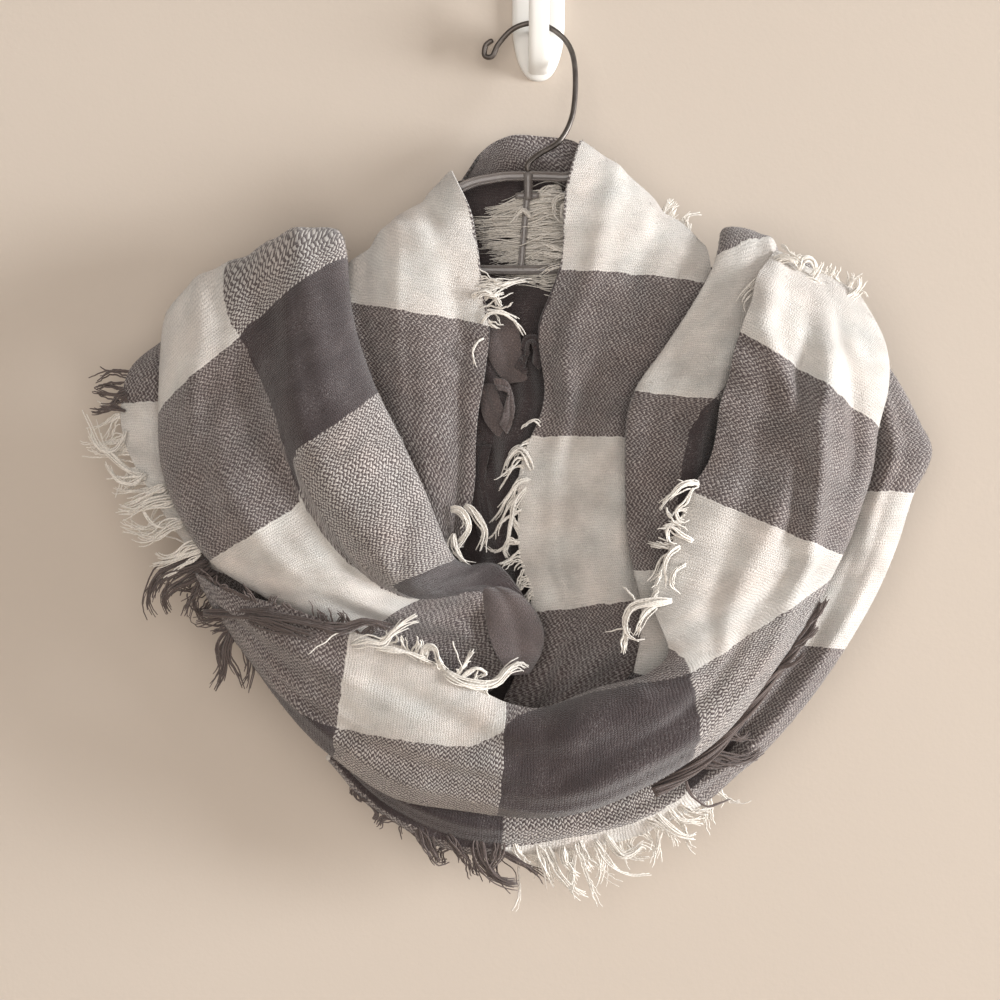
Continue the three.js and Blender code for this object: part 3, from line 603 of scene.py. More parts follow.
def yarn_group():
    """Two sets of yarns crossing over and under each other. A yarn is round across, and rises
    and dips along its length as a sine; whichever is higher at a point is seen there. A little
    noise bends the yarns, and the height falls away in the gaps between them."""
    tree, place, leave = new_group("open_weave", "Warp on top", "Height", "Warp yarn", "Weft yarn")
    bend = add_node(tree, "TexNoise", {"Vector": place, "Scale": 0.13, "Detail": 5.0,
                                       "Roughness": 0.62})
    bent = add_node(tree, "VectorMath", {0: bend.outputs["Color"], 1: (4.4, 4.4, 0.0), 2: place},
                    operation="MULTIPLY_ADD")
    parts = add_node(tree, "SeparateXYZ", {"Vector": bent.outputs["Vector"]}).outputs

    def sine_wave(count):
        """A wave along the yarns, how round they are there, and the side that it is on."""
        wave = value(tree, "SINE", value(tree, "MULTIPLY", count, math.pi))
        return (wave, value(tree, "POWER", value(tree, "ABSOLUTE", wave), 0.7),
                value(tree, "SIGN", wave))

    def yarn_middle(count, pitch):
        """The place of the middle of the yarn that a point lies in."""
        return value(tree, "MULTIPLY", value(tree, "ADD", value(tree, "FLOOR", count), 0.5), pitch)

    along = value(tree, "DIVIDE", parts["Y"], WEFT_PITCH)
    straight = value(tree, "DIVIDE", parts["X"], WARP_PITCH)
    zigzag = value(tree, "MULTIPLY", value(tree, "COSINE", value(tree, "MULTIPLY", along, math.pi)),
                   0.32)
    warp_wave, warp_round, warp_side = sine_wave(value(tree, "ADD", straight, zigzag))
    weft_wave, weft_round, weft_side = sine_wave(along)
    warp_rise = value(tree, "MULTIPLY", warp_side, weft_wave)
    weft_rise = value(tree, "MULTIPLY", value(tree, "MULTIPLY", weft_side, warp_wave), -1.0)
    warp_high = value(tree, "MULTIPLY_ADD", warp_rise, 0.75, warp_round)
    weft_high = value(tree, "MULTIPLY_ADD", weft_rise, 0.75, weft_round)
    higher = value(tree, "SUBTRACT", warp_high, weft_high)
    feed(leave, {
        "Warp on top": value(tree, "MULTIPLY_ADD", higher, 1.6, 0.5, clamp=True),
        "Height": value(tree, "MULTIPLY", value(tree, "MAXIMUM", warp_high, weft_high), 0.58,
                        clamp=True),
        "Warp yarn": yarn_middle(straight, WARP_PITCH),
        "Weft yarn": yarn_middle(along, WEFT_PITCH)})
    return tree


def nap_group():
    """The brushed surface: short fibres as fine noise, soft clouds where the brushing lies
    differently, and a slow drift of the dye between a brown and a bluish shade."""
    tree, place, leave = new_group("brushed_nap", "Fibres", "Clouds", "Drift")
    feed(leave, {
        "Fibres": noise(tree, place, Scale=1.3, Detail=4.0, Roughness=0.65, Distortion=1.2),
        "Clouds": noise(tree, place, Scale=0.06, Detail=5.0),
        "Drift": noise(tree, place, Scale=0.035, Detail=2.0)})
    return tree


OPEN_WEAVE = yarn_group()
BRUSHED_NAP = nap_group()
WHITE_YARN = (0.675, 0.64, 0.60)
DARK_YARN = (0.044, 0.030, 0.031)
MIXED_YARNS = (0.160, 0.126, 0.121)
RAISED_FIBRE = (0.36, 0.335, 0.33, 1.0)


def check_cloth(name, warp=None, weft=None):
    """The woven check. A yarn is white where its place in the band falls in an even check of
    90 mm, and charcoal in an odd one; the colour seen is the yarn on top. The nap veils the
    weave a little. warp or weft fixes one set to one shade: 0 charcoal, 1 white."""
    material, tree, shader = new_material(name)
    band = add_node(tree, "UVMap", uv_map="band").outputs["UV"]
    place = add_node(tree, "VectorMath", {0: band, "Scale": 1 / MILLIMETRE},
                     operation="SCALE").outputs["Vector"]
    weave = add_node(tree, "Group", node_tree=OPEN_WEAVE)
    nap = add_node(tree, "Group", node_tree=BRUSHED_NAP)
    feed(weave, {"Place": place})
    feed(nap, {"Place": place})
    weave, nap = weave.outputs, nap.outputs

    def shade(yarn, fixed):
        """1 where a yarn's place falls in an even check and 0 in an odd one, unless fixed."""
        if fixed is not None:
            return value(tree, "ADD", fixed, 0.0)
        return value(tree, "LESS_THAN", value(tree, "FLOORED_MODULO", yarn, 2 * CHECK), CHECK)

    def past(given, from_value):
        """How far a field is past a value, five times steeper and kept between 0 and 1."""
        return value(tree, "MULTIPLY", value(tree, "SUBTRACT", given, from_value), 5.0, clamp=True)

    warp_white = shade(weave["Warp yarn"], warp)
    weft_white = shade(weave["Weft yarn"], weft)
    sunk = value(tree, "MULTIPLY",
                 value(tree, "SUBTRACT", warp_white, weft_white, clamp=True), 0.30)
    top = value(tree, "MULTIPLY_ADD", value(tree, "SUBTRACT", nap["Fibres"], 0.5), 1.5,
                value(tree, "SUBTRACT", weave["Warp on top"], sunk), clamp=True)
    both = value(tree, "MULTIPLY", value(tree, "ADD", warp_white, weft_white), 0.5)
    seen = add_node(tree, "Mix", {"Factor": top, "A": weft_white, "B": warp_white})
    veil = add_node(tree, "Mix", {"Factor": 0.30, "A": seen.outputs["Result"], "B": both})
    colour = ramp(tree, veil.outputs["Result"], (0, DARK_YARN), (0.5, MIXED_YARNS),
                  (1, WHITE_YARN))
    cloud = value(tree, "MULTIPLY_ADD", nap["Clouds"], 0.8, 0.6)
    # Painted shade: the colour darkens in the gaps between the yarns, where shade falls.
    gap = value(tree, "MULTIPLY_ADD", weave["Height"], 0.42, 0.66, clamp=True)
    fibre = value(tree, "MULTIPLY_ADD", nap["Fibres"], 0.5, 0.75)
    light = value(tree, "MULTIPLY", value(tree, "MULTIPLY", cloud, gap), fibre)
    grey = add_node(tree, "CombineColor", {
        channel: value(tree, "MULTIPLY", light,
                       value(tree, "MULTIPLY_ADD", nap["Drift"], drift, 1.0 - drift / 2))
        for channel, drift in (("Red", -0.12), ("Green", 0.05), ("Blue", 0.12))})
    tone = add_node(tree, "Mix", {"Factor": 1.0, "A": colour, "B": grey.outputs["Color"]},
                    data_type="RGBA", blend_type="MULTIPLY")
    raised = value(tree, "MULTIPLY", past(nap["Fibres"], 0.53), past(nap["Clouds"], 0.44))
    brushed = value(tree, "MULTIPLY_ADD", both, -0.6, 0.62)
    fuzz = add_node(tree, "Mix", {"Factor": value(tree, "MULTIPLY", raised, brushed),
                                  "A": tone.outputs["Result"], "B": RAISED_FIBRE},
                    data_type="RGBA")
    height = value(tree, "MULTIPLY_ADD", nap["Fibres"], 0.55, weave["Height"])
    feed(shader, {
        "Base Color": fuzz.outputs["Result"], "Normal": bump(tree, height, 0.75, 0.0007),
        "Roughness": 0.95, "Specular IOR Level": 0.15, "Sheen Weight": 0.4,
        "Sheen Roughness": 0.6})
    return material


CLOTH_FINISH = check_cloth("check_cloth")


def cloth_piece(name, band, start, end, node, finish=CLOTH_FINISH):
    """The part of a band between two rows, in its cloth, standing for a node of the frame."""
    piece = cloth_shell(name, band, start, end)
    piece.data.materials.append(finish)
    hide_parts(node)
    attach(piece, "root")
    return piece


# Hardly any yarn runs this way, so the rings are set out from it; and each yarn's twist starts
# this much further on than the last one's.
REFERENCE = np.array([0.21, 0.95, 0.23])
TWIST_SHIFT = 17.3


def yarn_tubes(name, paths, radii, sides=5):
    """Many yarns in one mesh. Each is a tube round a path of its own: at every point the ring
    stands square to the path, and a point closes each end. paths is yarns by points by 3."""
    yarns, rings = paths.shape[:2]
    along = unit(np.gradient(paths, axis=1))
    aside = unit(np.cross(along, REFERENCE))
    above = np.cross(along, aside)
    turn = np.linspace(0, 2 * np.pi, sides, endpoint=False)
    round_way = (aside[:, :, None] * np.cos(turn)[:, None]
                 + above[:, :, None] * np.sin(turn)[:, None])
    ring_points = paths[:, :, None] + round_way * radii[:, :, None, None]
    tips = np.stack([paths[:, 0] - along[:, 0] * 0.3, paths[:, -1] + along[:, -1] * 0.3], axis=1)
    size = rings * sides + 2
    vertices = np.concatenate([ring_points.reshape(yarns, -1, 3), tips], axis=1).reshape(-1, 3)
    i, j = np.meshgrid(np.arange(rings - 1), np.arange(sides), indexing="ij")
    k = (j + 1) % sides
    walls = np.stack([i * sides + j, (i + 1) * sides + j, (i + 1) * sides + k, i * sides + k],
                     axis=-1).reshape(-1, 4)
    ring = np.arange(sides)
    after = (ring + 1) % sides
    start = np.stack([np.full(sides, rings * sides), ring, after], axis=-1)
    last = (rings - 1) * sides
    end = np.stack([np.full(sides, rings * sides + 1), after + last, ring + last], axis=-1)
    offset = (np.arange(yarns) * size)[:, None, None]
    faces = (walls[None] + offset).reshape(-1, 4).tolist()
    faces += (np.vstack([start, end])[None] + offset).reshape(-1, 3).tolist()
    piece = smooth_mesh(name, vertices, faces)
    run = run_along(paths) + np.arange(yarns)[:, None] * TWIST_SHIFT
    place = np.stack([np.repeat(run[:, :, None], sides, axis=2),
                      np.tile(turn / (2 * np.pi), (yarns, rings, 1))], axis=-1)
    place = place.reshape(yarns, -1, 2)
    place = np.concatenate([place, place[:, :1], place[:, -1:]], axis=1).reshape(-1, 2)
    add_uv(piece, "yarn", place * np.array([MILLIMETRE, 1.0]))
    return piece


def loose_fibres(name, band, start, end, count, seed):
    """Hairs standing loose from the brushed face of a band between two rows. Each starts at a
    chance place, leans its own way, and bows over; it takes the colour of the yarn it left."""
    chance = np.random.default_rng(seed)
    part = slice(start * band["steps"], end * band["steps"] + 1)
    points, normal = band["points"][part], band["normal"][part]
    middle = (points[:, :1] + points[:, -1:]) / 2
    face = np.sign(((points - middle) * normal).sum())
    rows, columns = points.shape[:2]
    i, j = chance.integers(0, rows - 1, count), chance.integers(0, columns - 1, count)
    f, g = chance.random((2, count, 1))

    def pick(grid):
        """The grid's value at each fibre's root, shared between the four corners round it."""
        return ((grid[i, j] * (1 - g) + grid[i, j + 1] * g) * (1 - f)
                + (grid[i + 1, j] * (1 - g) + grid[i + 1, j + 1] * g) * f)

    up = pick(normal) * face
    own = chance.normal(size=(2, count, 3))
    lean = own - (own * up).sum(axis=2, keepdims=True) * up
    tau = np.linspace(0, 1, 3)[None, :, None]
    length = 1.2 + 2.0 * chance.random((count, 1, 1)) ** 2
    bow = (up * 0.55)[:, None] + 0.5 * lean[0][:, None]
    paths = (pick(points) + up * CLOTH * 0.35)[:, None] + length * tau * (
        bow + (0.4 * lean[1] - 0.3 * up)[:, None] * tau)
    radii = 0.12 * (1 - 0.6 * tau[..., 0]) + 0 * paths[..., 0]
    piece = yarn_tubes(name, paths, radii, sides=3)
    place = np.concatenate([pick(band["across"][part][..., None]),
                            pick(band["along"][part][..., None])], axis=1)
    place = np.repeat(place, len(piece.data.vertices) // count, axis=0)
    add_uv(piece, "band", place * MILLIMETRE)
    piece.data.materials.append(CLOTH_FINISH)
    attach(piece, "root")


# Cloth tables, in millimetres and degrees: edges A and B (x z out), the crown between them, the
# way that it faces, how far each edge curls on (a minus for a raw edge), and the place of both
# edges in the pattern. Creases: from row and share across, to row and share, width, height.
# ax az aout  bx bz bout  crown face turnA turnB  alongA alongB acrossA acrossB
INNER_TURN = [
    [-76, -292, 48, -42, -290, 50, 18, 0, -60, -45, 358, 358, 5, 78],
    [-90, -268, 48, -35, -252, 52, 20, 0, -60, -45, 354, 335, 5, 80],
    [-102, -240, 48, -31, -208, 53, 20, 0, -60, -45, 345, 300, 4, 84],
    [-108, -212, 48, -27, -172, 53, 20, 0, -60, -45, 323, 268, 2, 88],
    [-111, -185, 49, -32, -142, 53, 20, 0, -60, -45, 296, 238, 2, 88],
    [-109, -160, 48, -38, -112, 50, 16, 25, -60, -45, 270, 208, 2, 88],
    [-103, -140, 38, -46, -88, 38, 3, 90, -60, -45, 255, 182, 4, 84],
    [-92, -150, 27, -44, -96, 27, 2, 140, -60, -45, 238, 168, 5, 80],
    [-60, -146, 21, -32, -78, 21, 1, 180, -60, -50, 205, 150, 5, 80],
    [-28, -116, 20, -17, -69, 18, 1, 180, -60, -50, 170, 135, 15, 65],
    [2, -107, 20, 2, -68, 18, 1, 180, -60, -50, 130, 120, 20, 60],
    [34, -116, 20, 20, -70, 19, 1, 180, -60, -50, 105, 108, 15, 65],
    [64, -140, 23, 25, -76, 24, 1, 170, -60, -45, 70, 98, 5, 80],
    [86, -143, 29, 24, -80, 29, 2, 130, -60, -45, 35, 90, 2, 88],
    [89, -127, 38, 22, -71, 38, 2, 90, -60, -45, 22, 78, 2, 88],
    [90, -150, 46, 15, -97, 50, 16, 25, -60, -45, -3, 45, 2, 88],
    [80, -184, 50, 11, -136, 53, 20, 0, -60, -45, -40, 4, 2, 88],
    [70, -212, 50, 0, -172, 53, 20, 0, -60, -45, -70, -33, 2, 88],
    [62, -240, 50, 3, -212, 53, 20, 0, -60, -45, -100, -73, 6, 84],
    [60, -272, 50, -9, -248, 54, 20, 0, -60, -45, -133, -108, 5, 85],
    [60, -306, 50, -11, -292, 54, 20, 0, -60, -45, -170, -150, 5, 85],
    [56, -342, 49, -3, -320, 51, 20, 0, -60, -45, -208, -178, 10, 80],
    [34, -372, 47, -10, -350, 47, 18, 0, -60, -45, -238, -208, 12, 74],
    [8, -396, 43, -20, -374, 43, 14, 0, -60, -45, -262, -232, 20, 60],
]
INNER_CREASES = [
    [0.5, 0.6, 4.5, 0.55, 0.14, 3],
    [18.5, 0.55, 21.5, 0.5, 0.12, -4],
    [0.2, 0.85, 3.6, 0.8, 0.07, -3.2],
    [1.6, 0.3, 4.9, 0.2, 0.07, -2.6],
    [4.7, 0.78, 5.9, 0.35, 0.09, 2.2],
    [3.4, 0.42, 5.4, 0.5, 0.06, 1.6],
    [5.6, 0.75, 6.6, 0.6, 0.06, -1.6],
    [13.8, 0.3, 16.4, 0.55, 0.08, -2.4],
    [14.6, 0.72, 17.8, 0.82, 0.07, 2.2],
    [16.4, 0.25, 18.6, 0.45, 0.07, 2.0],
    [18.4, 0.78, 21.0, 0.7, 0.06, 1.8],
    [19.2, 0.2, 22.5, 0.35, 0.09, 2.8],
    [20.2, 0.8, 22.4, 0.55, 0.07, -2.2],
    [8.2, 0.3, 11.6, 0.4, 0.1, 1.4],
    [8.8, 0.7, 12.4, 0.62, 0.09, -1.4],
]
inner_band = cloth_band(INNER_TURN, INNER_CREASES, 10, 48, 11)
inner_left = cloth_piece("inner_left_cloth", inner_band, 0, 7, "inner_left")
neck_back = cloth_piece("neck_back_cloth", inner_band, 7, 13, "neck_back")


def small_fold(turn, across_a, across_b, rows):
    """Rows of a small fold, given as ax az aout bx bz bout crown and the place along: it faces
    the room, and both its edges and its place across the pattern stay the same."""
    return [[*row[:7], 0, turn, turn, row[7], row[7], across_a, across_b] for row in rows]


# The charcoal check next to the neck is doubled under and lines the opening behind the hanger:
# all charcoal, it is a dark sheet that paints the deep shade inside the neck.
# A flat grey cloth, lighter than the charcoal: it paints the shade on the heather of the end
# fold, and the light on some folds of the crumpled charcoal in the middle.
CHARCOAL_AND_SHADE_CLOTH = check_cloth("charcoal_and_shade_cloth", 0.0, 0.0)
PAINTED_GREY_CLOTH = check_cloth("painted_grey_cloth", 0.46, 0.24)
NECK_SHADE_FOLD = small_fold(-40, 100, 150, [
    [-43, -92, 24.5, 8, -89, 24.5, 1, 90],
    [-42, -106, 25, 11, -105, 25, 1.5, 104],
    [-39, -122, 26, 13, -122, 26, 2, 120],
    [-36, -138, 25.5, 13, -139, 25.5, 1, 136],
    [-33, -156, 25.5, 11, -158, 25.5, 0.5, 154]])
neck_shade_fold = cloth_shell("neck_shade_fold", cloth_band(NECK_SHADE_FOLD, [[0.5, 0.2, 2.8, 0.3, 0.12, 2.2]],
                                                12, 30, 15), 0, 4)
neck_shade_fold.data.materials.append(CHARCOAL_AND_SHADE_CLOTH)
neck_back = join("neck_back_cloth", [neck_back, neck_shade_fold])
inner_right = cloth_piece("inner_right_cloth", inner_band, 13, 23, "inner_right")

# ---- The outer turn -----------------------------------------------------------------------
# The second time round, worn outside the first: up to the left shoulder with its edge rolled
# into a tube, across the back, and down the right as a narrow strip beside the front swag.

OUTER_TURN = [
    [-26, -366, 56, 3, -336, 60, 6, 0, 40, 40, 350, 325, 52, 94],
    [-62, -352, 62, -20, -302, 66, 8, 0, 70, 60, 315, 300, 38, 103],
    [-107, -335, 66, -38, -300, 70, 12, 0, 70, 75, 262, 259, 42, 126],
    [-142, -318, 66, -48, -292, 75, 18, 0, 70, 75, 222, 236, 32, 140],
    [-172, -298, 65, -60, -265, 75, 20, 0, 70, 75, 180, 209, 23, 151],
    [-189, -275, 62, -74, -233, 73, 21, 0, 70, 75, 150, 182, 18, 153],
    [-199, -250, 58, -90, -200, 70, 20, 0, 70, 75, 120, 154, 14, 146],
    [-202, -222, 54, -100, -165, 66, 18, 5, 70, 75, 90, 115, 24, 149],
    [-202, -190, 49, -104, -134, 56, 16, 25, 60, 60, 60, 84, 40, 155],
    [-199, -169, 38, -107, -123, 39, 14, 90, 10, 10, 38, 75, 40, 150],
    [-190, -184, 25, -103, -138, 24, 9, 150, 10, -30, 15, 55, 40, 150],
    [-187, -232, 19, -92, -158, 17, 12, 180, 50, -50, -35, 0, 30, 150],
    [-150, -302, 19, -68, -160, 16, 14, 180, 60, -50, -90, -50, -20, 150],
    [-78, -350, 19, -36, -161, 16, 15, 180, 60, -50, -150, -100, -40, 160],
    [0, -368, 19, 0, -162, 16, 15, 180, 60, -50, -210, -160, -45, 170],
    [76, -350, 19, 38, -161, 16, 15, 180, 60, -50, -270, -220, -30, 180],
    [142, -300, 19, 72, -159, 16, 14, 180, 60, -50, -335, -285, 10, 195],
    [172, -235, 19, 92, -152, 17, 12, 180, 40, -50, -400, -350, 60, 210],
    [170, -178, 24, 99, -137, 24, 7, 150, 0, -30, -456, -415, 90, 220],
    [170, -158, 37, 99, -121, 38, 9, 90, -30, 0, -478, -437, 100, 220],
    [169, -180, 44, 92, -143, 57, 8, 30, -60, 40, -500, -458, 97, 226],
    [160, -220, 48, 67, -184, 65, 8, 5, -60, 40, -556, -505, 97, 224],
    [150, -257, 50, 49, -212, 67, 8, 0, -60, 40, -592, -548, 98, 212],
    [140, -290, 52, 45, -248, 68, 8, 0, -60, 40, -620, -585, 100, 209],
    [130, -318, 54, 47, -286, 68, 8, 0, -60, 40, -650, -616, 104, 208],
    [118, -342, 56, 54, -322, 67, 8, 0, -60, 40, -676, -655, 116, 210],
    [104, -368, 57, 50, -356, 64, 6, 0, -60, 30, -702, -690, 125, 200],
]
OUTER_CREASES = [
    [3, 0.55, 6.5, 0.5, 0.09, -9],
    [2.8, 0.8, 6, 0.78, 0.16, 5],
    [11.5, 0.62, 16.5, 0.58, 0.09, -4],
    [11.5, 0.3, 16.5, 0.28, 0.1, 4],
    [20, 0.82, 25, 0.78, 0.12, 4],
    [19.7, 0.7, 22.4, 0.64, 0.05, 3.5],
    [18.8, 0.56, 24, 0.5, 0.09, -8],
    [4.2, 0.3, 7.0, 0.2, 0.07, 2.6],
    [4.8, 0.12, 7.6, 0.36, 0.06, -2.4],
    [2.0, 0.25, 4.2, 0.36, 0.07, -3.0],
    [1.0, 0.42, 3.0, 0.3, 0.06, 2.4],
    [7.2, 0.64, 9.2, 0.5, 0.07, -2.6],
    [6.6, 0.84, 8.8, 0.8, 0.06, 2.6],
    [7.6, 0.3, 9.6, 0.22, 0.06, 1.8],
    [5.4, 0.66, 7.4, 0.72, 0.05, 1.8],
    [0.4, 0.7, 2.6, 0.66, 0.08, 2.4],
    [2.4, 0.64, 4.0, 0.94, 0.05, -2.0],
    [11.2, 0.45, 14.2, 0.5, 0.06, 2.6],
    [12.5, 0.82, 15.4, 0.78, 0.06, 2.8],
    [14.2, 0.12, 17.2, 0.16, 0.06, -2.6],
    [14.8, 0.46, 17.4, 0.4, 0.05, 2.2],
    [10.6, 0.7, 12.4, 0.78, 0.07, -2.4],
    [18.6, 0.25, 20.8, 0.34, 0.06, -2.6],
    [18.4, 0.64, 20.4, 0.56, 0.06, 2.4],
    [21.4, 0.9, 23.8, 0.86, 0.05, -1.8],
]
OUTER_TUCKS = ((0, 10), (1, 26), (5, 24), (6, 14), (7, 4), (8, 0))
outer_band = cloth_band(OUTER_TURN, OUTER_CREASES, 14, 84, 21, tucks=OUTER_TUCKS)
outer_left = cloth_piece("outer_left_cloth", outer_band, 0, 10, "outer_left_front")
# The end of the outer turn tucks in behind as a fold of the flat grey cloth, which paints the shade
# on that heather fold.
END_FOLD = [
    [-33, -308, 68, -25, -310, 67, 2, 0, -20, 30, 0, 0, 95, 112],
    [-31, -313, 72, -13, -315, 69, 4, 0, -20, 30, 6, 6, 95, 120],
    [-29, -322, 74, -4, -324, 69, 5, 0, -20, 30, 16, 16, 95, 126],
    [-26, -334, 74, 1, -336, 67, 5, 0, -20, 30, 29, 29, 95, 130],
    [-22, -346, 72, 0, -347, 64, 4, 0, -20, 30, 41, 41, 95, 124],
    [-16, -357, 66, -6, -357, 59, 3, 0, -20, 30, 52, 52, 95, 118],
]
end_fold = cloth_shell("end_fold", cloth_band(END_FOLD, [[1.0, 0.55, 4.6, 0.45, 0.16, -1.6]],
                                              8, 24, 22), 0, 5)
end_fold.data.materials.append(PAINTED_GREY_CLOTH)
outer_left = join("outer_left_cloth", [outer_left, end_fold])
outer_back = cloth_piece("outer_back_cloth", outer_band, 10, 18, "outer_back")
right_strip = cloth_piece("right_strip_cloth", outer_band, 18, 26, "right_strip")

# ---- The front swag -----------------------------------------------------------------------
# The end of the outer turn: it comes forward over the right shoulder, raw edge inward, and
# sweeps round the bottom with its lower edge folded under.

FRONT_SWAG = [
    [124, -134, 51, 170, -155, 45, 3, 60, -40, 0, 30, 5, 15, 65],
    [111, -153, 72, 183, -182, 53, 12, 25, -40, 40, 60, 30, 5, 80],
    [104, -182, 80, 184, -204, 56, 17, 5, -40, 70, 92, 60, 2, 84],
    [96, -212, 82, 178, -230, 60, 20, 0, -40, 70, 126, 90, 2, 86],
    [87, -243, 84, 172, -258, 64, 20, 0, -40, 70, 160, 127, 2, 88],
    [76, -268, 86, 163, -283, 68, 20, 0, -40, 70, 186, 162, 2, 86],
    [66, -294, 86, 153, -305, 70, 18, 0, -40, 70, 212, 193, 2, 90],
    [59, -320, 86, 143, -324, 72, 16, 0, -40, 70, 240, 211, 14, 112],
    [66, -343, 88, 124, -352, 74, 15, 0, -30, 70, 270, 231, 56, 140],
    [56, -355, 90, 94, -388, 74, 16, 0, -10, 70, 284, 255, 78, 156],
    [30, -363, 90, 55, -414, 74, 20, 0, 10, 70, 308, 281, 84, 156],
    [-8, -374, 90, 10, -430, 72, 22, 0, -10, 70, 347, 322, 85, 155],
    [-40, -360, 90, -32, -428, 70, 22, 0, -35, 70, 382, 366, 52, 142],
    [-72, -342, 90, -76, -421, 66, 20, 0, -40, 70, 418, 412, 36, 136],
    [-102, -331, 88, -112, -398, 62, 16, 0, -40, 70, 450, 450, 38, 110],
    [-136, -322, 82, -140, -368, 58, 12, 0, -40, 60, 480, 480, 40, 98],
    [-164, -312, 72, -159, -343, 54, 8, 0, -40, 40, 510, 508, 48, 86],
    [-182, -304, 62, -172, -324, 52, 5, 0, -40, 0, 535, 532, 60, 82],
]
FRONT_CREASES = [
    [0.0, 0.04, 1.2, 0.04, 0.12, 2.4],
    [2.5, 0.55, 5.5, 0.6, 0.12, 4],
    [10.5, 0.4, 13, 0.3, 0.14, -5],
    [1.7, 0.1, 3.2, 0.48, 0.08, 5.0],
    [3.0, 0.52, 5.8, 0.78, 0.06, 7.0],
    [2.4, 0.4, 4.9, 0.6, 0.06, -6.0],
    [1.5, 0.62, 3.4, 0.84, 0.07, -5.0],
    [0.8, 0.62, 2.6, 0.7, 0.07, 2.2],
    [3.4, 0.25, 6.4, 0.34, 0.07, -2.6],
    [5.2, 0.48, 7.4, 0.42, 0.06, 2.2],
    [6.0, 0.7, 8.2, 0.5, 0.07, -2.6],
    [7.6, 0.82, 9.8, 0.72, 0.06, 2.0],
    [8.4, 0.4, 10.4, 0.55, 0.08, -2.2],
    [9.6, 0.66, 12.0, 0.6, 0.06, 1.8],
    [11.0, 0.86, 14.2, 0.78, 0.05, 2.2],
    [11.6, 0.62, 14.0, 0.68, 0.05, -3.2],
    [12.6, 0.36, 14.8, 0.28, 0.06, 2.4],
    [13.6, 0.55, 16.0, 0.42, 0.08, -2.6],
    [14.4, 0.2, 16.4, 0.25, 0.07, 2.2],
]
front_band = cloth_band(FRONT_SWAG, FRONT_CREASES, 12, 56, 31)
right_front = cloth_piece("right_front_cloth", front_band, 0, 8, "outer_right_front")
bottom_front = cloth_piece("bottom_front_cloth", front_band, 8, 17, "bottom_front")

# ---- Behind: the second turn where it shows past the first --------------------------------
# Past the left shoulder, past the right, below the front swag, and across the back: the band
# runs on behind, its raw edge outward, so its fringe hangs clear all round.

LEFT_BEHIND = [
    [-204, -180, 37, -165, -168, 37, 12, 40, -50, -60, 140, 140, 10, 60],
    [-220, -195, 39, -160, -186, 41, 20, 20, -50, -60, 162, 162, 10, 80],
    [-226, -216, 40, -155, -214, 43, 24, 0, -50, -60, 181, 181, 8, 84],
    [-222, -236, 41, -150, -240, 44, 24, 0, -50, -60, 202, 202, 8, 84],
    [-211, -257, 42, -145, -268, 42, 24, 0, -50, -60, 224, 224, 8, 80],
    [-196, -278, 43, -140, -296, 40, 24, 0, -50, -60, 246, 246, 8, 72],
    [-182, -300, 44, -134, -322, 40, 20, 0, -50, -60, 270, 270, 8, 66],
    [-172, -322, 44, -128, -342, 40, 18, 0, -50, -60, 292, 292, 8, 62],
    [-160, -340, 42, -120, -360, 38, 14, 0, -50, -60, 312, 312, 8, 58],
]
LEFT_CREASES = [
    [1.0, 0.35, 3.5, 0.28, 0.1, -3.0],
    [3.0, 0.5, 6.0, 0.4, 0.1, -3.0],
    [0.6, 0.7, 2.6, 0.55, 0.09, -2.4],
]
BACK_SWAG = [
    [140, -172, 36.6, 178, -184, 35.5, 4, 40, -60, 30, 98, 98, 5, 50],
    [150, -190, 40.6, 191, -200, 37, 8, 15, -60, 50, 118, 118, 5, 58],
    [150, -215, 41, 204, -224, 38, 14, 0, -60, 50, 142, 142, 5, 65],
    [150, -240, 40, 210, -240, 38, 14, 0, -60, 50, 162, 162, 5, 68],
    [148, -262, 42, 200, -262, 38, 14, 0, -60, 50, 180, 180, 5, 60],
    [142, -290, 44, 191, -290, 40, 14, 0, -60, 50, 208, 208, 5, 56],
    [130, -320, 46, 177, -322, 42, 14, 0, -60, 50, 243, 243, 2, 52],
    [114, -350, 48, 155, -357, 42, 14, 0, -60, 50, 281, 281, -8, 40],
    [96, -376, 50, 128, -390, 42, 15, 0, -60, 20, 318, 318, -18, 25],
    [74, -395, 50, 98, -418, 42, 18, 0, -60, -25, 346, 346, -26, 14],
    [44, -408, 50, 56, -444, 42, 20, 0, -60, -25, 385, 385, -32, 9],
    [4, -416, 50, 4, -454, 42, 20, 0, -60, -25, 427, 427, -36, 6],
    [-34, -414, 50, -42, -454, 42, 20, 0, -60, -25, 464, 464, -38, 3],
    [-70, -405, 48, -84, -434, 42, 15, 0, -60, -25, 502, 502, -30, 2],
    [-100, -388, 44, -114, -403, 40, 12, 0, -60, -25, 540, 540, -20, 0],
]
BACK_CREASES = [
    [0.8, 0.44, 4.4, 0.38, 0.09, -7.5],
    [1.0, 0.66, 4.6, 0.62, 0.06, 4.0],
    [4.6, 0.62, 8.0, 0.5, 0.1, -3.4],
    [6.0, 0.8, 9.0, 0.7, 0.07, 2.2],
    [10.6, 0.6, 14.0, 0.5, 0.09, 3.2],
    [11.2, 0.8, 13.8, 0.78, 0.06, -2.6],
    [9.2, 0.5, 11.2, 0.62, 0.08, -2.0],
]
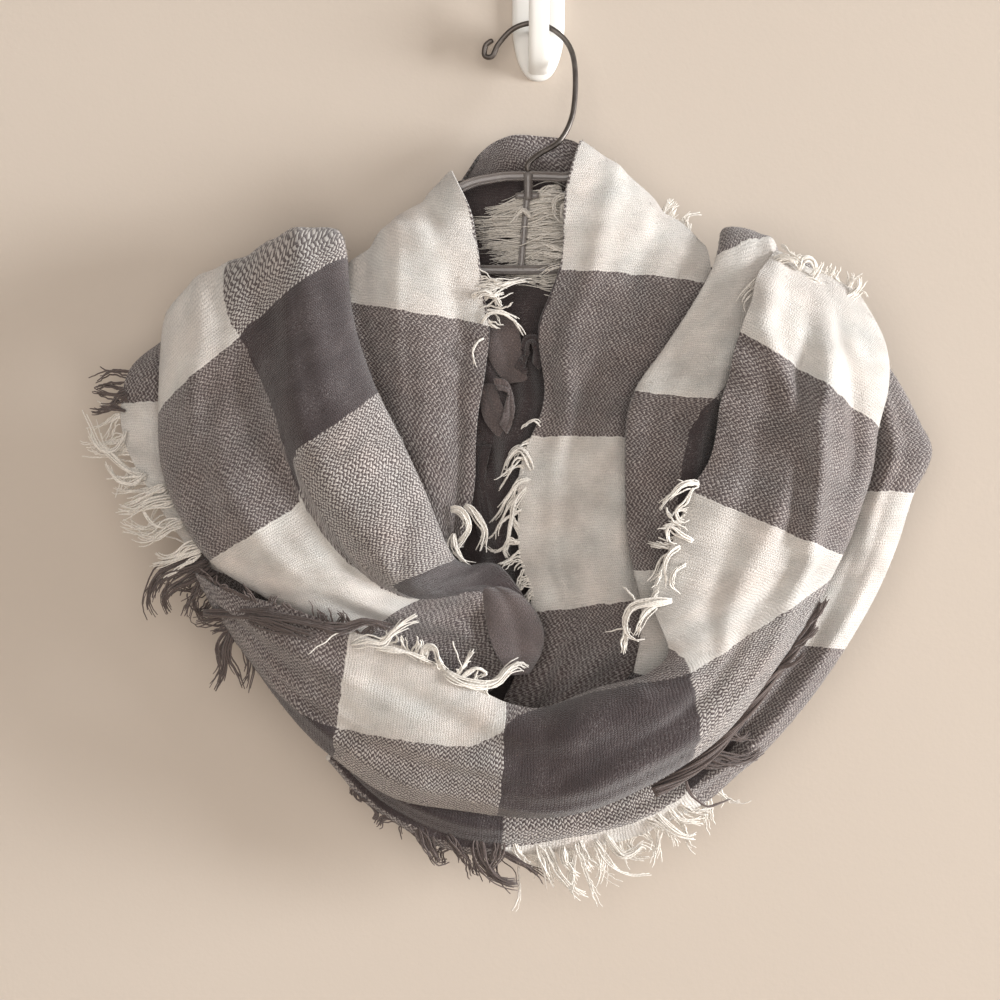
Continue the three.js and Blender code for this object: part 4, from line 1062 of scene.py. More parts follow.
BOTTOM_BACK = [
    [-142, -215, 31, -204, -222, 33, 7, 180, -60, 40, 20, 20, 45, 110],
    [-128, -260, 31, -188, -282, 33, 8, 180, -60, 50, 75, 75, 42, 115],
    [-98, -310, 31, -148, -345, 34, 9, 180, -60, 50, 140, 140, 40, 118],
    [-54, -345, 30, -92, -405, 34, 9, 180, -60, 50, 205, 210, 38, 122],
    [0, -360, 30, 0, -440, 34, 10, 180, -60, 50, 270, 300, 36, 126],
    [54, -345, 30, 88, -405, 34, 9, 180, -60, 50, 335, 390, 38, 122],
    [98, -310, 31, 148, -345, 34, 9, 180, -60, 50, 400, 460, 40, 118],
    [126, -260, 31, 182, -280, 33, 8, 180, -60, 50, 460, 530, 42, 115],
    [138, -215, 31, 190, -220, 32, 7, 180, -60, 40, 510, 590, 45, 110],
]
BOTTOM_CREASES = [
    [1.0, 0.4, 4.0, 0.5, 0.1, -3.0],
    [3.5, 0.65, 7.0, 0.45, 0.08, 2.6],
    [0.6, 0.75, 3.0, 0.62, 0.07, 2.4],
    [4.8, 0.3, 7.4, 0.28, 0.07, -2.4],
]
left_band = cloth_band(LEFT_BEHIND, LEFT_CREASES, 9, 34, 41)
back_band = cloth_band(BACK_SWAG, BACK_CREASES, 12, 34, 42)
bottom_band = cloth_band(BOTTOM_BACK, BOTTOM_CREASES, 22, 34, 43)
left_behind = cloth_piece("left_behind_cloth", left_band, 0, 8, "left_behind")
right_behind = cloth_piece("right_behind_cloth", back_band, 0, 8, "right_behind")
bottom_behind = cloth_piece("bottom_behind_cloth", back_band, 8, 14, "bottom_behind")
bottom_back = cloth_piece("bottom_back_cloth", bottom_band, 0, 8, "bottom_back")

# ---- The dark middle ----------------------------------------------------------------------
# Between the inner stretches the raw charcoal edge of the band is crumpled on itself, and it
# shows only as dark ribbons and loops. Its all-charcoal cloth also fills the deep hollow there as
# painted shade, and some ribbons are painted lighter grey for the light on their folds.

MIDDLE = small_fold(-60, 0, 54, [
    [-44, -139, 31.6, 10, -139, 32.5, 0.5, 0],
    [-46, -185, 38, 6, -185, 32, 4, 46],
    [-44, -225, 34, 8, -225, 40, 4, 86],
    [-44, -265, 40, 0, -265, 34, 4, 126],
    [-42, -305, 36, 2, -310, 38, 4, 167],
    [-38, -345, 37, 6, -345, 35, 4, 205],
    [-38, -385, 32.8, 8, -385, 30.2, 2, 245]])
MIDDLE_CREASES = [
    [1.0, 0.3, 2.0, 0.5, 0.12, 7.0],
    [1.6, 0.75, 2.6, 0.55, 0.1, 6.0],
    [2.4, 0.2, 3.3, 0.45, 0.12, 7.0],
    [3.2, 0.7, 4.0, 0.5, 0.12, 5.0],
]
MIDDLE_RIBBONS = [
    small_fold(-40, 95, 115, [
        [-31, -166, 43, -14, -164, 42, 3, 0],
        [-31, -174, 45, -11, -170, 45, 4, 8],
        [-29, -184, 45.5, -10, -182, 45, 4, 18],
        [-25, -193, 44, -10, -192, 44, 3, 28],
        [-18, -202, 41, -7, -201, 41, 2, 38]]),
    small_fold(-40, 95, 108, [
        [-32, -203, 42, -25, -203, 43, 2, 0],
        [-31, -212, 44, -22, -209, 45, 3, 8],
        [-29, -222, 45, -18, -217, 46, 3, 18],
        [-23, -231, 44, -12, -222, 46, 3, 28],
        [-13, -236, 41, -6, -226, 44, 2, 38]]),
    small_fold(-30, 95, 100, [
        [-24, -202, 46, -22, -206, 48, 1, 0],
        [-18, -203, 48, -17, -208, 50, 1, 6],
        [-14, -211, 49, -18, -214, 50, 1, 14],
        [-13, -221, 49, -18, -221, 50, 1, 24],
        [-17, -230, 48, -20, -226, 49, 1, 32]]),
    small_fold(-30, 95, 100, [
        [-8, -197, 43, -11, -194, 44, 1, 0],
        [-10, -189, 44, -7, -188, 47, 1, 8],
        [-9, -179, 45, -6, -182, 48, 1, 16],
        [-2, -177, 44, -4, -181, 47, 1, 24],
        [2, -185, 43, -2, -186, 46, 1, 32],
        [0, -195, 42, -3, -192, 44, 1, 42]]),
    small_fold(-40, 95, 105, [
        [-35, -236, 42, -27, -236, 43, 2, 0],
        [-37, -250, 43, -29, -250, 45, 3, 14],
        [-36, -266, 43, -27, -267, 44, 3, 30],
        [-33, -284, 41, -25, -286, 42, 2, 48]]),
]
middle_band = cloth_band(MIDDLE, MIDDLE_CREASES, 16, 34, 51, ripple=1.6)
middle_fold = cloth_piece("middle_fold_cloth", middle_band, 0, 6, "middle_fold", CHARCOAL_AND_SHADE_CLOTH)
ribbons = []
for number, rows in enumerate(MIDDLE_RIBBONS):
    ribbon = cloth_shell("ribbon", cloth_band(rows, [[0.8, 0.4, 2.6, 0.6, 0.15, -1.5]], 8, 14,
                                              60 + number, ripple=0.8), 0, len(rows) - 1)
    # The first three ribbons are in the flat grey cloth, painted light on the lit folds of the
    # charcoal; the last two are plain charcoal.
    ribbon.data.materials.append(CHARCOAL_AND_SHADE_CLOTH if number in (3, 4) else PAINTED_GREY_CLOTH)
    ribbons.append(ribbon)
middle_fold = join("middle_fold_cloth", [middle_fold] + ribbons)

# ---- Fringes ------------------------------------------------------------------------------
# The band's raw long edges: the crossing yarns run out past the last warp yarn as a fringe.
# They part into locks of a few yarns each, and curl and tangle where they have been handled.

YARN_POINTS = 14
FINE_POINTS = 80


def twisted_yarn(name, colour):
    """Loose two-ply yarn: slanting dark lines of painted shade between the plies, painted light on
    their crowns, and fine uneven fibres.
    """
    material, tree, shader = new_material(name)
    run = add_node(tree, "UVMap", uv_map="yarn").outputs["UV"]
    place = add_node(tree, "Mapping", {"Vector": run, "Scale": (520.0, 2.0, 1.0)})
    place = place.outputs["Vector"]
    parts = add_node(tree, "SeparateXYZ", {"Vector": place}).outputs
    ply = value(tree, "PINGPONG", value(tree, "ADD", parts["X"], parts["Y"]), 0.5)
    light = value(tree, "MULTIPLY_ADD", ply, 0.7, noise(tree, place, Scale=1.6, Detail=3.0))
    # Painted shade in the grooves between the plies, and painted light on their crowns.
    dark = [0.72 * part for part in colour]
    pale = [min(1.12 * part, 0.95) for part in colour]
    feed(shader, {
        "Base Color": ramp(tree, light, (0.3, dark), (0.85, pale)),
        "Normal": bump(tree, light, 0.5, 0.0003), "Roughness": 0.9, "Sheen Weight": 0.25,
        "Specular IOR Level": 0.2})
    return material


WHITE_FINISH = twisted_yarn("white_yarn", (0.80, 0.76, 0.70))
DARK_FINISH = twisted_yarn("dark_yarn", (0.125, 0.098, 0.09))


def turned(ways, angle):
    """Directions turned in the plane of the wall by an angle each."""
    cos, sin = np.cos(angle), np.sin(angle)
    return np.stack([ways[..., 0] * cos - ways[..., 2] * sin, ways[..., 1] + 0 * angle,
                     ways[..., 0] * sin + ways[..., 2] * cos], axis=-1)


def edge_yarns(chance, rows, creases, edge, reach, gap, lock, longer, curl):
    """Paths of the yarns along a raw edge, one to each gap. A lock has a length and a turn of its
    own: its way out swings from square off the edge to the reach of its place, and on through
    its turn. Its yarns run towards its middle, and each adds a little of its own and a crimp."""
    table = np.asarray(rows, dtype=float)
    reach = np.asarray(reach, dtype=float)
    fine = np.linspace(reach[0, 0], reach[-1, 0], FINE_POINTS)

    def on_edge(place, inward):
        """The points of the edge at places along it, moved in across the cloth by a share."""
        if edge == "start":
            return stretch_surface(table, creases, np.array([inward]), place)[0][0]
        side = np.array([inward if edge == "A" else 1 - inward])
        return stretch_surface(table, creases, place, side)[0][:, 0]

    line = on_edge(fine, 0.0)
    run = run_along(line)
    yarns = int(run[-1] / gap)
    order = np.sort(chance.uniform(0, run[-1], yarns))
    group = np.cumsum(chance.random(yarns) < 1.0 / lock)
    place = np.interp(order, run, fine)
    root = on_edge(place, 0.0)
    outward = unit(root - on_edge(place, 0.04))
    centre = np.stack([[root[group == k, c].mean() for k in group] for c in range(3)], axis=-1)
    tip = np.stack([np.interp(place, reach[:, 0], reach[:, c]) for c in (1, 3, 2)], axis=-1)
    tip[:, 1] *= -1
    far = np.linalg.norm(tip, axis=1)
    shared = chance.normal(size=(group.max() + 1, 6))[group]
    own = chance.normal(size=(yarns, 8))
    length = far * longer * np.clip(1 + 0.25 * shared[:, 0] + 0.15 * own[:, 0], 0.4, 1.6)
    tau = np.linspace(0, 1, YARN_POINTS)
    turn = curl * ((0.9 * shared[:, 1:2] + 0.16 * own[:, 1:2]) * tau ** 1.4
                   + 0.35 * shared[:, 2:3] * np.sin(5 * tau + 3 * shared[:, 3:4]))
    blend = np.clip(tau / 0.35, 0, 1)[None, :, None]
    straight = np.repeat((tip / far[:, None])[:, None], YARN_POINTS, axis=1)
    ways = outward[:, None] * (1 - blend) + turned(straight, turn) * blend
    ways[:, :, 1] += 0.18 * (shared[:, 4:5] + 0.5 * own[:, 2:3])
    path = np.cumsum(unit(ways) * (length / (YARN_POINTS - 1))[:, None, None], axis=1)
    path += (root - outward * 1.5)[:, None]
    gather = 0.72 * np.clip(tau / 0.5, 0, 1)[None, :, None]
    path += (centre - root)[:, None] * gather
    path += own[:, None, 3:6] * np.array([0.55, 0.8, 0.55]) * np.minimum(tau * 2, 1)[None, :, None]
    crimp = 0.22 * np.sin(length[:, None] / 4.2 * 2 * np.pi * tau + 3 * own[:, 6:7])
    path[:, :, 0] += crimp
    path[:, :, 2] += crimp * np.sign(own[:, 7:8])
    path[:, :, 1] -= 0.5
    return path


def lock_yarns(chance, yarns, spread, knots):
    """Paths of one lock laid along a given curve of knots (x z out). Its yarns keep their places
    in a bundle that is full at a third of its length, and part from each other at their tips."""
    fine = curve_through([(x, -out, z) for x, z, out in knots], FINE_POINTS)
    tau = np.linspace(0, 1, YARN_POINTS)
    own = chance.normal(size=(yarns, 8))
    reach = np.clip(1 - 0.2 * np.abs(own[:, :1]), 0.4, 1) * tau
    far = np.linspace(0, 1, FINE_POINTS)
    path = np.stack([np.interp(reach, far, fine[:, c]) for c in range(3)], axis=-1)
    aside = unit(np.cross(np.gradient(path, axis=1), -OUT_OF_WALL))
    full = spread * (0.5 + 0.5 * np.sin(np.pi * np.clip(tau * 1.2, 0, 1) ** 0.7)) * (1 - 0.3 * tau)
    sway = own[:, 1:2] + 0.5 * np.sin(4.5 * tau + 3 * own[:, 3:4])
    splay = min(spread, 3.0) * 0.5 * tau ** 3
    path = path + aside * (0.5 * full * sway + splay * own[:, 6:7])[..., None]
    path[:, :, 1] += 0.35 * full * own[:, 2:3] + splay * own[:, 7:8]
    crimp = 0.26 * np.sin(13 * tau + 3 * own[:, 4:5])
    path[:, :, 0] += crimp
    path[:, :, 2] += crimp * np.sign(own[:, 5:6])
    return path


def laid_locks(chance, locks, tenths=20):
    """The yarns of several locks, each lock with its number of yarns made fuller by tenths."""
    return np.concatenate([lock_yarns(chance, yarns * tenths // 10, *lock)
                           for yarns, *lock in locks])


def fringe(name, node, dark, paths, thick=0.46, taper=0.45):
    """Yarns in one mesh that stand for a fringe of the frame, thinning towards their tips."""
    chance = np.random.default_rng(len(paths))
    tau = np.linspace(0, 1, YARN_POINTS)
    radii = thick * (1 - taper * tau ** 3) * (1 + 0.14 * chance.normal(size=(len(paths), 1)))
    piece = yarn_tubes(name, paths, np.clip(radii, 0.12, 1.1), sides=4)
    piece.data.materials.append(DARK_FINISH if dark else WHITE_FINISH)
    if node:
        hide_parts(node)
    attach(piece, "root")


# A fringe: its band, edge, and the reach of its yarns (place x z out), and then the locks,
# listed one by one, each with its number of yarns, its spread, and its curve (x z out).
FRINGES = {
    "fringe_left_top": (True, LEFT_BEHIND, LEFT_CREASES, "A",
     [[1, -16, 4, 2], [1.5, -19, 0, 3], [1.9, -18, -3, 3]], [
      (4, 2.0, [(-221, -212, 44), (-228, -209, 46), (-234, -208, 46), (-239, -206, 46)]),
      (6, 3.0, [(-222, -207, 43), (-227, -211, 45), (-230, -215, 46), (-236, -216, 47)]),
      (5, 2.4, [(-222, -217, 44), (-229, -215, 47), (-236, -217, 47), (-243, -216, 48)]),
     ]),
    "fringe_left": (False, LEFT_BEHIND, LEFT_CREASES, "A",
     [[2, -16, -6, 3], [2.5, -17, -10, 3], [3, -17, -15, 4], [3.5, -18, -14, 4], [4, -20, -12, 5],
      [4.5, -21, -10, 5], [5, -21, -8, 5], [5.5, -20, -8, 5], [5.9, -19, -8, 4]], [
      (6, 2.8, [(-211, -253, 45), (-219, -250, 48), (-228, -242, 50), (-235, -235, 50),
        (-239, -226, 49), (-243, -216, 49)]),
      (5, 2.2, [(-222, -228, 45), (-226, -237, 48), (-232, -239, 50), (-238, -234, 50),
        (-240, -225, 50)]),
      (5, 2.0, [(-211, -251, 46), (-217, -256, 50), (-224, -255, 51), (-229, -249, 50),
        (-231, -243, 49)]),
      (2, 0.8, [(-213, -252, 48), (-222, -253, 50), (-234, -253, 51)]),
      (8, 3.4, [(-199, -258, 52), (-205, -260, 54), (-213, -264, 54), (-223, -269, 53)]),
      (8, 3.6, [(-194, -264, 54), (-200, -266, 56), (-209, -268, 56), (-217, -271, 54),
        (-225, -271, 53)]),
      (2, 0.7, [(-211, -271, 54), (-207, -277, 55), (-201, -280, 55), (-195, -279, 54)]),
      (8, 3.2, [(-189, -277, 55), (-197, -279, 56), (-204, -284, 55), (-211, -286, 54),
        (-217, -283, 53)]),
      (6, 2.4, [(-180, -288, 57), (-187, -290, 57), (-193, -294, 56), (-199, -296, 54),
        (-206, -293, 53)]),
      (7, 2.8, [(-179, -290, 57), (-188, -294, 57), (-197, -298, 55), (-207, -299, 53)]),
      (2, 1.4, [(-180, -294, 58), (-190, -300, 57), (-201, -309, 55)]),
     ]),
    "fringe_left_low": (True, LEFT_BEHIND, LEFT_CREASES, "A",
     [[6, -20, -8, 4], [6.5, -22, -12, 5], [7, -18, -16, 5], [7.5, -12, -22, 5],
      [8, -8, -26, 4]], [
      (13, 5.0, [(-177, -296, 53), (-190, -301, 54), (-201, -305, 52), (-207, -313, 50),
        (-209, -321, 48), (-206, -328, 48)]),
      (12, 5.0, [(-176, -300, 52), (-187, -306, 53), (-195, -311, 52), (-200, -318, 50),
        (-197, -326, 48)]),
      (9, 4.0, [(-172, -304, 52), (-180, -310, 54), (-185, -318, 53), (-190, -327, 50)]),
      (9, 3.4, [(-148, -322, 66), (-158, -323, 66), (-170, -326, 62), (-184, -329, 56)]),
      (5, 2.2, [(-158, -331, 62), (-166, -333, 60), (-175, -335, 56)]),
      (9, 4.4, [(-164, -334, 58), (-169, -344, 56), (-169, -355, 54), (-175, -366, 52)]),
      (7, 3.2, [(-160, -336, 58), (-155, -347, 57), (-154, -357, 56), (-157, -367, 55)]),
      (4, 2.4, [(-164, -336, 59), (-165, -348, 58), (-160, -358, 57), (-158, -366, 56)]),
     ]),
    "fringe_front_dark": (True, FRONT_SWAG, FRONT_CREASES, "A",
     [[13.5, 0, 7, 3], [14, -1, 8, 3], [14.5, -2, 8, 3], [15, -3, 8, 3], [15.5, -4, 8, 3],
      [16, -5, 7, 3], [16.5, -6, 6, 3]], [
      (14, 3.6, [(-178, -325, 62), (-165, -325, 70), (-150, -325, 80), (-136, -326, 88),
        (-122, -328, 92), (-108, -331, 94), (-98, -330, 95)]),
      (12, 3.4, [(-112, -331, 94), (-102, -331, 95), (-92, -328, 96), (-84, -329, 96),
        (-77, -332, 95)]),
      (8, 3.0, [(-152, -327, 82), (-141, -330, 87), (-129, -333, 91), (-119, -336, 93),
        (-113, -337, 94)]),
      (6, 2.4, [(-170, -321, 64), (-158, -322, 73), (-146, -322, 82), (-133, -324, 88)]),
     ]),
    "fringe_front_white": (False, FRONT_SWAG, FRONT_CREASES, "A",
     [[11.5, 5, 8, 2], [12, 4, 10, 3], [12.5, 2, 10, 3], [13, 1, 10, 3], [13.4, 1, 9, 3]], [
      (7, 2.6, [(-98, -340, 94), (-90, -338, 96), (-82, -339, 97), (-76, -333, 97),
        (-70, -329, 96), (-63, -326, 94)]),
      (6, 2.2, [(-85, -342, 95), (-76, -343, 97), (-69, -344, 97), (-61, -347, 96),
        (-55, -349, 94)]),
      (5, 1.8, [(-62, -349, 94), (-60, -341, 95), (-55, -341, 96), (-52, -348, 96),
        (-48, -354, 94)]),
      (5, 2.4, [(-44, -356, 92), (-39, -349, 92), (-35, -342, 90)]),
      (5, 1.8, [(-42, -357, 92), (-34, -352, 93), (-28, -355, 91), (-33, -358, 91)]),
      (12, 4.2, [(-50, -354, 92), (-42, -359, 93), (-32, -361, 92), (-23, -359, 89),
        (-17, -353, 85), (-11, -350, 82), (-6, -353, 80)]),
      (1, 0.1, [(-104, -333, 95), (-114, -340, 97), (-124, -347, 97), (-133, -354, 94)]),
      (1, 0.1, [(-46, -338, 92), (-43, -346, 94), (-40, -354, 94)]),
     ]),
    "fringe_right_low": (False, FRONT_SWAG, FRONT_CREASES, "A",
     [[5, -9, 0, 2], [5.5, -12, -3, 2], [6, -13, -5, 3], [6.5, -12, -6, 3], [7, -11, -5, 4]], [
      (6, 2.4, [(82, -257, 90), (75, -257, 94), (69, -261, 95), (64, -266, 94), (61, -270, 92)]),
      (1, 0.1, [(78, -255, 92), (72, -255, 95), (66, -251, 93)]),
      (3, 1.0, [(79, -259, 92), (75, -266, 95), (70, -271, 95), (73, -276, 95), (78, -273, 94)]),
      (3, 1.2, [(65, -269, 92), (69, -276, 95), (76, -281, 94)]),
      (4, 1.4, [(79, -286, 91), (73, -283, 94), (67, -279, 95), (65, -282, 95), (67, -287, 94),
        (71, -288, 92)]),
      (3, 1.2, [(72, -289, 91), (66, -293, 94), (64, -301, 94), (65, -311, 92)]),
      (3, 1.2, [(75, -298, 91), (69, -302, 95), (68, -309, 95), (73, -312, 93)]),
      (8, 2.8, [(68, -317, 90), (58, -317, 92), (49, -319, 91), (44, -325, 90), (44, -332, 89),
        (48, -337, 89), (54, -337, 90)]),
      (4, 1.8, [(60, -320, 91), (54, -324, 92), (51, -331, 91), (49, -337, 89)]),
      (6, 2.6, [(46, -332, 88), (44, -339, 87), (43, -346, 85)]),
      (2, 0.8, [(50, -318, 90), (46, -313, 89), (42, -310, 87)]),
      (1, 0.1, [(45, -331, 89), (37, -333, 88), (30, -335, 85)]),
     ]),
    "fringe_right_top": (False, FRONT_SWAG, FRONT_CREASES, "start",
     [[0, -1, 5, 4], [0.3, 2, 7, 3], [0.7, 5, 7, 1], [0.97, 9, 6, 1]], [
      (7, 3.0, [(122, -141, 57), (128, -137, 61), (134, -138, 62), (139, -141, 60)]),
      (3, 1.0, [(129, -129, 52), (133, -134, 58), (137, -138, 60), (133, -142, 61)]),
      (5, 1.8, [(137, -143, 58), (139, -137, 60), (144, -137, 59), (147, -142, 57),
        (145, -147, 56)]),
      (3, 1.4, [(145, -148, 56), (148, -143, 57), (151, -137, 55)]),
      (5, 2.4, [(140, -147, 57), (147, -149, 57), (153, -154, 55), (158, -151, 53)]),
      (9, 3.8, [(148, -153, 55), (157, -158, 55), (165, -157, 53), (171, -151, 51),
        (172, -144, 50)]),
      (4, 2.4, [(126, -146, 60), (118, -148, 66), (112, -152, 70), (107, -158, 73),
        (104, -166, 76)]),
      (2, 1.0, [(120, -150, 66), (113, -155, 72), (106, -163, 76), (108, -169, 79)]),
     ]),
    "fringe_inner_left": (False, INNER_TURN, INNER_CREASES, "B",
     [[3, 12, -8, 4], [3.5, 14, -7, 4], [4, 12, -6, 4]], [
      (8, 3.2, [(-34, -152, 54), (-26, -152, 55), (-18, -150, 53), (-10, -148, 50),
        (-1, -149, 47)]),
      (5, 2.4, [(-36, -157, 55), (-30, -155, 57), (-24, -156, 57), (-19, -153, 55)]),
      (1, 0.1, [(-31, -163, 55), (-22, -158, 56), (-12, -154, 53)]),
      (4, 1.4, [(-31, -171, 55), (-26, -166, 57), (-19, -167, 57), (-13, -171, 55),
        (-9, -178, 52)]),
      (2, 0.7, [(-28, -164, 56), (-19, -165, 57), (-11, -169, 54)]),
      (2, 0.6, [(-30, -179, 55), (-35, -184, 57), (-35, -192, 56), (-31, -199, 54)]),
      (7, 2.6, [(-47, -270, 66), (-42, -271, 68), (-38, -278, 68), (-41, -286, 66),
        (-46, -291, 64)]),
      (7, 2.8, [(-46, -283, 66), (-46, -291, 68), (-41, -298, 68), (-33, -302, 66)]),
      (6, 2.4, [(-40, -268, 60), (-34, -274, 61), (-30, -283, 60), (-33, -292, 59)]),
     ]),
    "fringe_inner_right": (False, INNER_TURN, INNER_CREASES, "B",
     [[18.5, -10, -4, 3], [19, -12, -8, 3], [19.5, -12, -8, 2], [20, -10, -8, 2],
      [20.5, -9, -8, 2], [21, -8, -8, 2]], [
      (3, 1.2, [(1, -226, 54), (-3, -223, 56), (-8, -225, 55), (-12, -229, 53)]),
      (5, 2.0, [(-4, -249, 55), (-7, -241, 57), (-12, -238, 57), (-17, -244, 55),
        (-20, -253, 53)]),
      (2, 0.8, [(-6, -243, 56), (-13, -243, 57), (-17, -252, 55), (-22, -260, 52)]),
      (6, 2.4, [(-5, -254, 55), (-11, -256, 58), (-17, -264, 57), (-21, -271, 55),
        (-27, -278, 52)]),
      (5, 1.8, [(-7, -258, 55), (-14, -267, 58), (-16, -279, 58), (-18, -288, 56),
        (-24, -293, 54), (-30, -290, 52)]),
      (3, 1.0, [(-12, -262, 56), (-18, -270, 57), (-22, -279, 56), (-27, -285, 54),
        (-33, -285, 52)]),
      (3, 1.2, [(-10, -270, 55), (-17, -274, 58), (-22, -279, 57), (-23, -287, 55)]),
      (3, 1.2, [(-11, -288, 55), (-16, -286, 57), (-20, -291, 56)]),
     ]),
    "fringe_bottom_white": (False, BACK_SWAG, BACK_CREASES, "B",
     [[9, 11, -14, 3], [9.5, 12, -20, 4], [10, 10, -24, 4], [10.5, 7, -26, 4], [11, 5, -25, 4],
      [11.4, 4, -24, 4]], [
      (7, 3.0, [(-14, -448, 46), (-10, -456, 48), (-4, -462, 48)]),
      (8, 3.2, [(-1, -449, 46), (3, -458, 49), (5, -466, 48), (8, -473, 46)]),
      (7, 2.8, [(4, -450, 46), (10, -464, 49), (19, -473, 48), (28, -478, 46)]),
      (7, 3.4, [(12, -450, 46), (14, -459, 50), (22, -465, 49)]),
      (7, 3.0, [(20, -448, 47), (25, -458, 50), (29, -464, 48)]),
      (5, 2.0, [(29, -447, 47), (37, -459, 50), (46, -465, 49), (60, -465, 47)]),
      (8, 3.0, [(35, -444, 47), (43, -454, 50), (49, -453, 50), (55, -449, 49), (61, -453, 47)]),
      (6, 2.4, [(55, -434, 47), (66, -439, 50), (71, -445, 49), (73, -451, 47)]),
      (7, 2.8, [(60, -430, 47), (69, -439, 50), (77, -444, 49), (84, -443, 47)]),
      (7, 2.8, [(68, -428, 47), (77, -436, 49), (89, -437, 47)]),
      (7, 2.6, [(72, -424, 47), (81, -431, 49), (92, -430, 47)]),
     ]),
    "fringe_bottom_dark": (True, BACK_SWAG, BACK_CREASES, "B",
     [[11.5, 6, -18, 4], [12, 5, -15, 3], [12.5, 3, -11, 3], [13, 2, -9, 3], [13.5, 0, -8, 3]], [
      (10, 4.0, [(-64, -440, 45), (-59, -450, 48), (-54, -458, 48), (-50, -456, 46)]),
      (9, 4.0, [(-50, -444, 46), (-44, -453, 49), (-38, -461, 47)]),
      (14, 4.6, [(-33, -446, 46), (-31, -457, 49), (-25, -465, 50), (-18, -469, 49),
        (-10, -470, 48)]),
      (8, 3.6, [(-22, -447, 46), (-23, -455, 49), (-29, -463, 48)]),
      (6, 2.4, [(-24, -451, 46), (-14, -457, 49), (-6, -461, 49), (1, -466, 48), (6, -472, 46)]),
     ]),
}
for order, (name, (dark, rows, creases, edge, reach, locks)) in enumerate(FRINGES.items()):
    chance = np.random.default_rng(200 + order)
    paths = [edge_yarns(chance, rows, creases, edge, reach, 1.3, 6, 0.8, 0.9),
             laid_locks(chance, locks, tenths=16)]
    fringe(name + "_yarns", name, dark, np.concatenate(paths))

# Inside the neck the long fringe of the back lies combed across, from the right to the left,
# and charcoal yarns at its left hang down; these dark yarns also paint the deep shade there.
chance = np.random.default_rng(300)
NECK_FUR = [
    (30, 7.0, [(18, -105, 31), (6, -103, 33), (-8, -105, 33), (-31, -112, 31)]),
    (34, 7.5, [(18, -112, 31), (5, -109, 33), (-10, -113, 33), (-38, -116, 31)]),
    (34, 7.5, [(18, -118, 31), (4, -119, 33), (-10, -119, 33), (-37, -121, 31)]),
    (34, 7.5, [(18, -124, 31), (4, -125, 33), (-10, -128, 33), (-33, -128, 31)]),
    (34, 7.5, [(18, -130, 31), (5, -134, 33), (-8, -133, 33), (-27, -136, 31)]),
    (30, 7.0, [(18, -137, 31), (4, -139, 33), (-10, -142, 33), (-24, -141, 31)]),
    (24, 6.0, [(18, -143, 32), (6, -147, 33), (-6, -146, 33), (-18, -147, 31)]),
    (18, 5.0, [(12, -98, 31), (4, -100, 32), (-3, -104, 33), (-12, -103, 31)]),
]
NECK_LOCKS = [
    (5, 1.8, [(16, -101, 42), (8, -104, 43), (8, -112, 44), (14, -117, 45)]),
    (4, 1.6, [(18, -103, 42), (12, -108, 43), (12, -114, 44), (17, -117, 45)]),
    (4, 1.6, [(18, -126, 44), (12, -131, 45), (5, -129, 44), (-1, -127, 42)]),
    (4, 1.8, [(16, -135, 45), (8, -134, 45), (1, -133, 44), (-6, -135, 42)]),
    (3, 1.4, [(14, -139, 46), (6, -141, 46), (0, -145, 45)]),
    (4, 1.6, [(-4, -113, 40), (-9, -109, 42), (-13, -113, 43), (-15, -117, 42)]),
]
neck_paths = laid_locks(chance, NECK_FUR + NECK_LOCKS)
fringe("fringe_neck_yarns", "fringe_neck", False, neck_paths, 0.33, 0.8)
shade_reach = [[7.5, 6, -20, 4], [8.5, 6, -30, 3], [9.6, 2, -22, 3]]
shade_paths = edge_yarns(chance, INNER_TURN, INNER_CREASES, "A", shade_reach, 0.7, 7, 1.1, 0.3)
fringe("fringe_neck_dark_yarns", None, True, shade_paths)

# The fringe of the second turn sticks up in a pale tuft behind the right side of the neck.
TUFT = [
    (7, 3.2, [(62, -116, 30), (66, -110, 31), (70, -106, 31), (73, -102, 30)]),
    (6, 2.4, [(68, -120, 30), (71, -113, 31), (73, -106, 31)]),
    (5, 2.0, [(72, -122, 30), (77, -114, 31), (81, -110, 31), (88, -110, 30)]),
    (6, 2.4, [(78, -128, 31), (80, -120, 32), (79, -112, 31)]),
    (5, 2.6, [(60, -112, 30), (62, -107, 31), (63, -103, 30)]),
]
fringe("shoulder_tuft_yarns", None, False, laid_locks(chance, TUFT))

# ---- The nap ------------------------------------------------------------------------------
# Brushing raised loose hairs all over the cloth; they soften its outline and its folds.

NAP = [
    ("inner_left_nap", inner_band, 0, 7, 1600), ("neck_back_nap", inner_band, 7, 13, 700),
    ("inner_right_nap", inner_band, 13, 23, 2100), ("outer_left_nap", outer_band, 0, 10, 3900),
    ("right_strip_nap", outer_band, 18, 26, 1500), ("right_front_nap", front_band, 0, 8, 2200),
    ("bottom_front_nap", front_band, 8, 17, 2400), ("left_behind_nap", left_band, 0, 8, 500),
    ("right_behind_nap", back_band, 0, 8, 900), ("bottom_behind_nap", back_band, 8, 14, 800),
]
for order, (name, band, start, end, hairs) in enumerate(NAP):
    loose_fibres(name, band, start, end, hairs, seed=500 + order)

# ---- The rolled edge ----------------------------------------------------------------------
# Where the raw edge of the charcoal check has rolled up on itself, beside the front swag, its
# last yarns lie twisted together like a cord.

ROLLED_EDGE = [(147, -319, 72), (134, -341, 73), (118, -363, 72), (103, -383, 70),
               (88, -400, 68), (74, -411, 67), (60, -419, 66)]


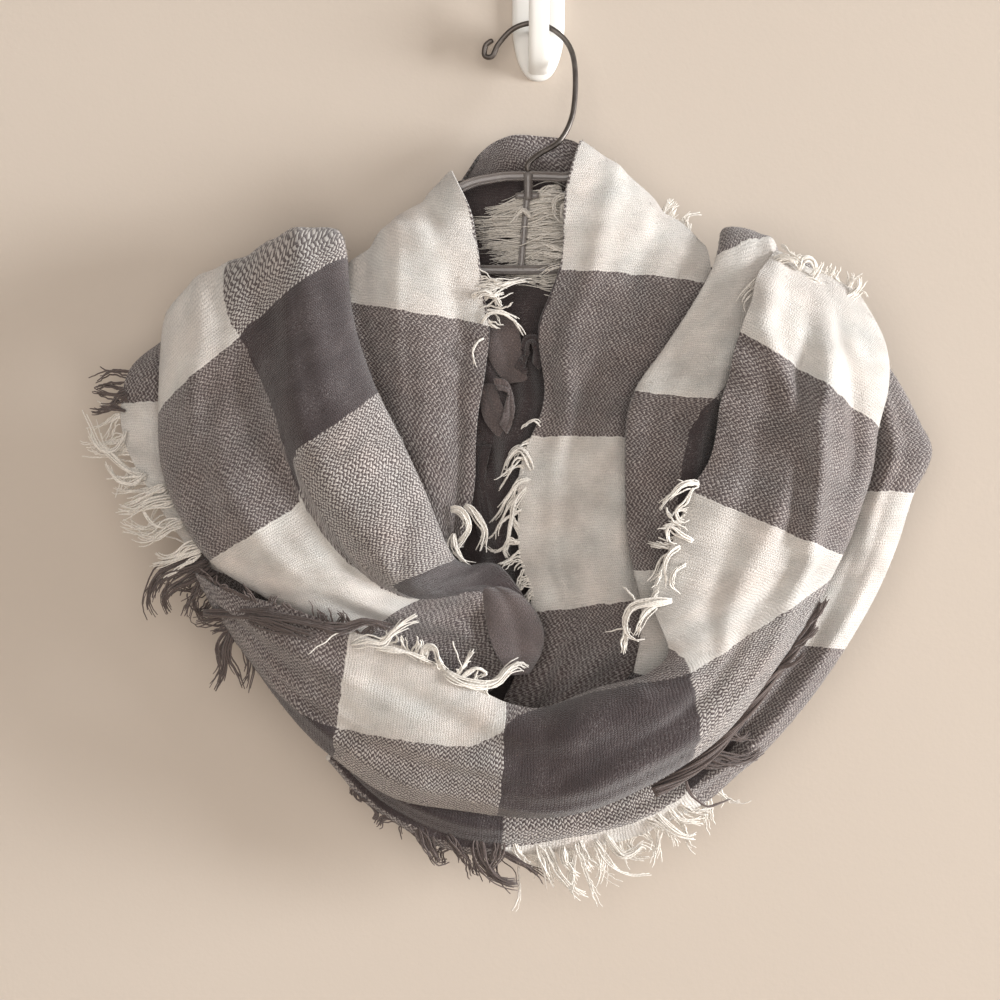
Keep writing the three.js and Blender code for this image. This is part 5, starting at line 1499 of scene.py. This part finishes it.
def rolled_yarns(knots, yarns, radius, seed):
    """Yarns wound round one line: each keeps its own angle about the line, which turns as the
    line runs on, at a distance that breathes a little."""
    chance = np.random.default_rng(seed)
    line = curve_through([(x, -out, z) for x, z, out in knots], 44)
    along = unit(np.gradient(line, axis=0))
    aside = unit(np.cross(along, -OUT_OF_WALL))
    above = np.cross(along, aside)
    tau = np.linspace(0, 1, len(line))
    angle = chance.uniform(0, 2 * np.pi, (yarns, 1)) + 9.0 * tau
    stray = chance.normal(0, 0.5, (yarns, 1))
    angle = angle + stray * np.sin(3 * tau + chance.uniform(0, 6, (yarns, 1)))
    far = radius * (0.62 + 0.38 * np.sin(7 * tau + chance.uniform(0, 6, (yarns, 1))))
    return (line[None] + aside[None] * (far * np.cos(angle))[..., None]
            + above[None] * (far * np.sin(angle))[..., None])


ROLLED_LOCKS = [
    (6, 1.6, [(140, -330, 76), (146, -324, 77), (150, -316, 77)]),
    (6, 1.6, [(133, -342, 76), (140, -337, 78), (146, -331, 77)]),
    (6, 1.6, [(125, -353, 76), (133, -350, 78), (139, -345, 77)]),
    (4, 1.6, [(128, -343, 66), (134, -335, 68), (140, -330, 67), (146, -327, 64)]),
    (4, 1.6, [(126, -346, 66), (132, -340, 68), (138, -336, 67), (144, -333, 65)]),
    (4, 2.0, [(122, -352, 67), (128, -349, 68), (135, -344, 66)]),
    (9, 3.4, [(86, -398, 66), (97, -401, 66), (108, -402, 63), (118, -397, 58)]),
    (6, 2.6, [(84, -404, 66), (94, -405, 66), (106, -403, 62)]),
    (6, 2.4, [(98, -388, 67), (106, -391, 66), (113, -389, 62)]),
    (2, 0.7, [(77, -413, 66), (80, -421, 64), (88, -427, 62), (95, -426, 60), (102, -423, 58)]),
]
rolled_paths = rolled_yarns(ROLLED_EDGE, 34, 3.3, 77)
rolled_edge = yarn_tubes("rolled_edge_yarns", rolled_paths,
                         np.full(rolled_paths.shape[:2], 0.55))
rolled_edge.data.materials.append(DARK_FINISH)
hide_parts("rolled_edge")
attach(rolled_edge, "root")
fringe("rolled_edge_tassels", None, True, laid_locks(chance, ROLLED_LOCKS))
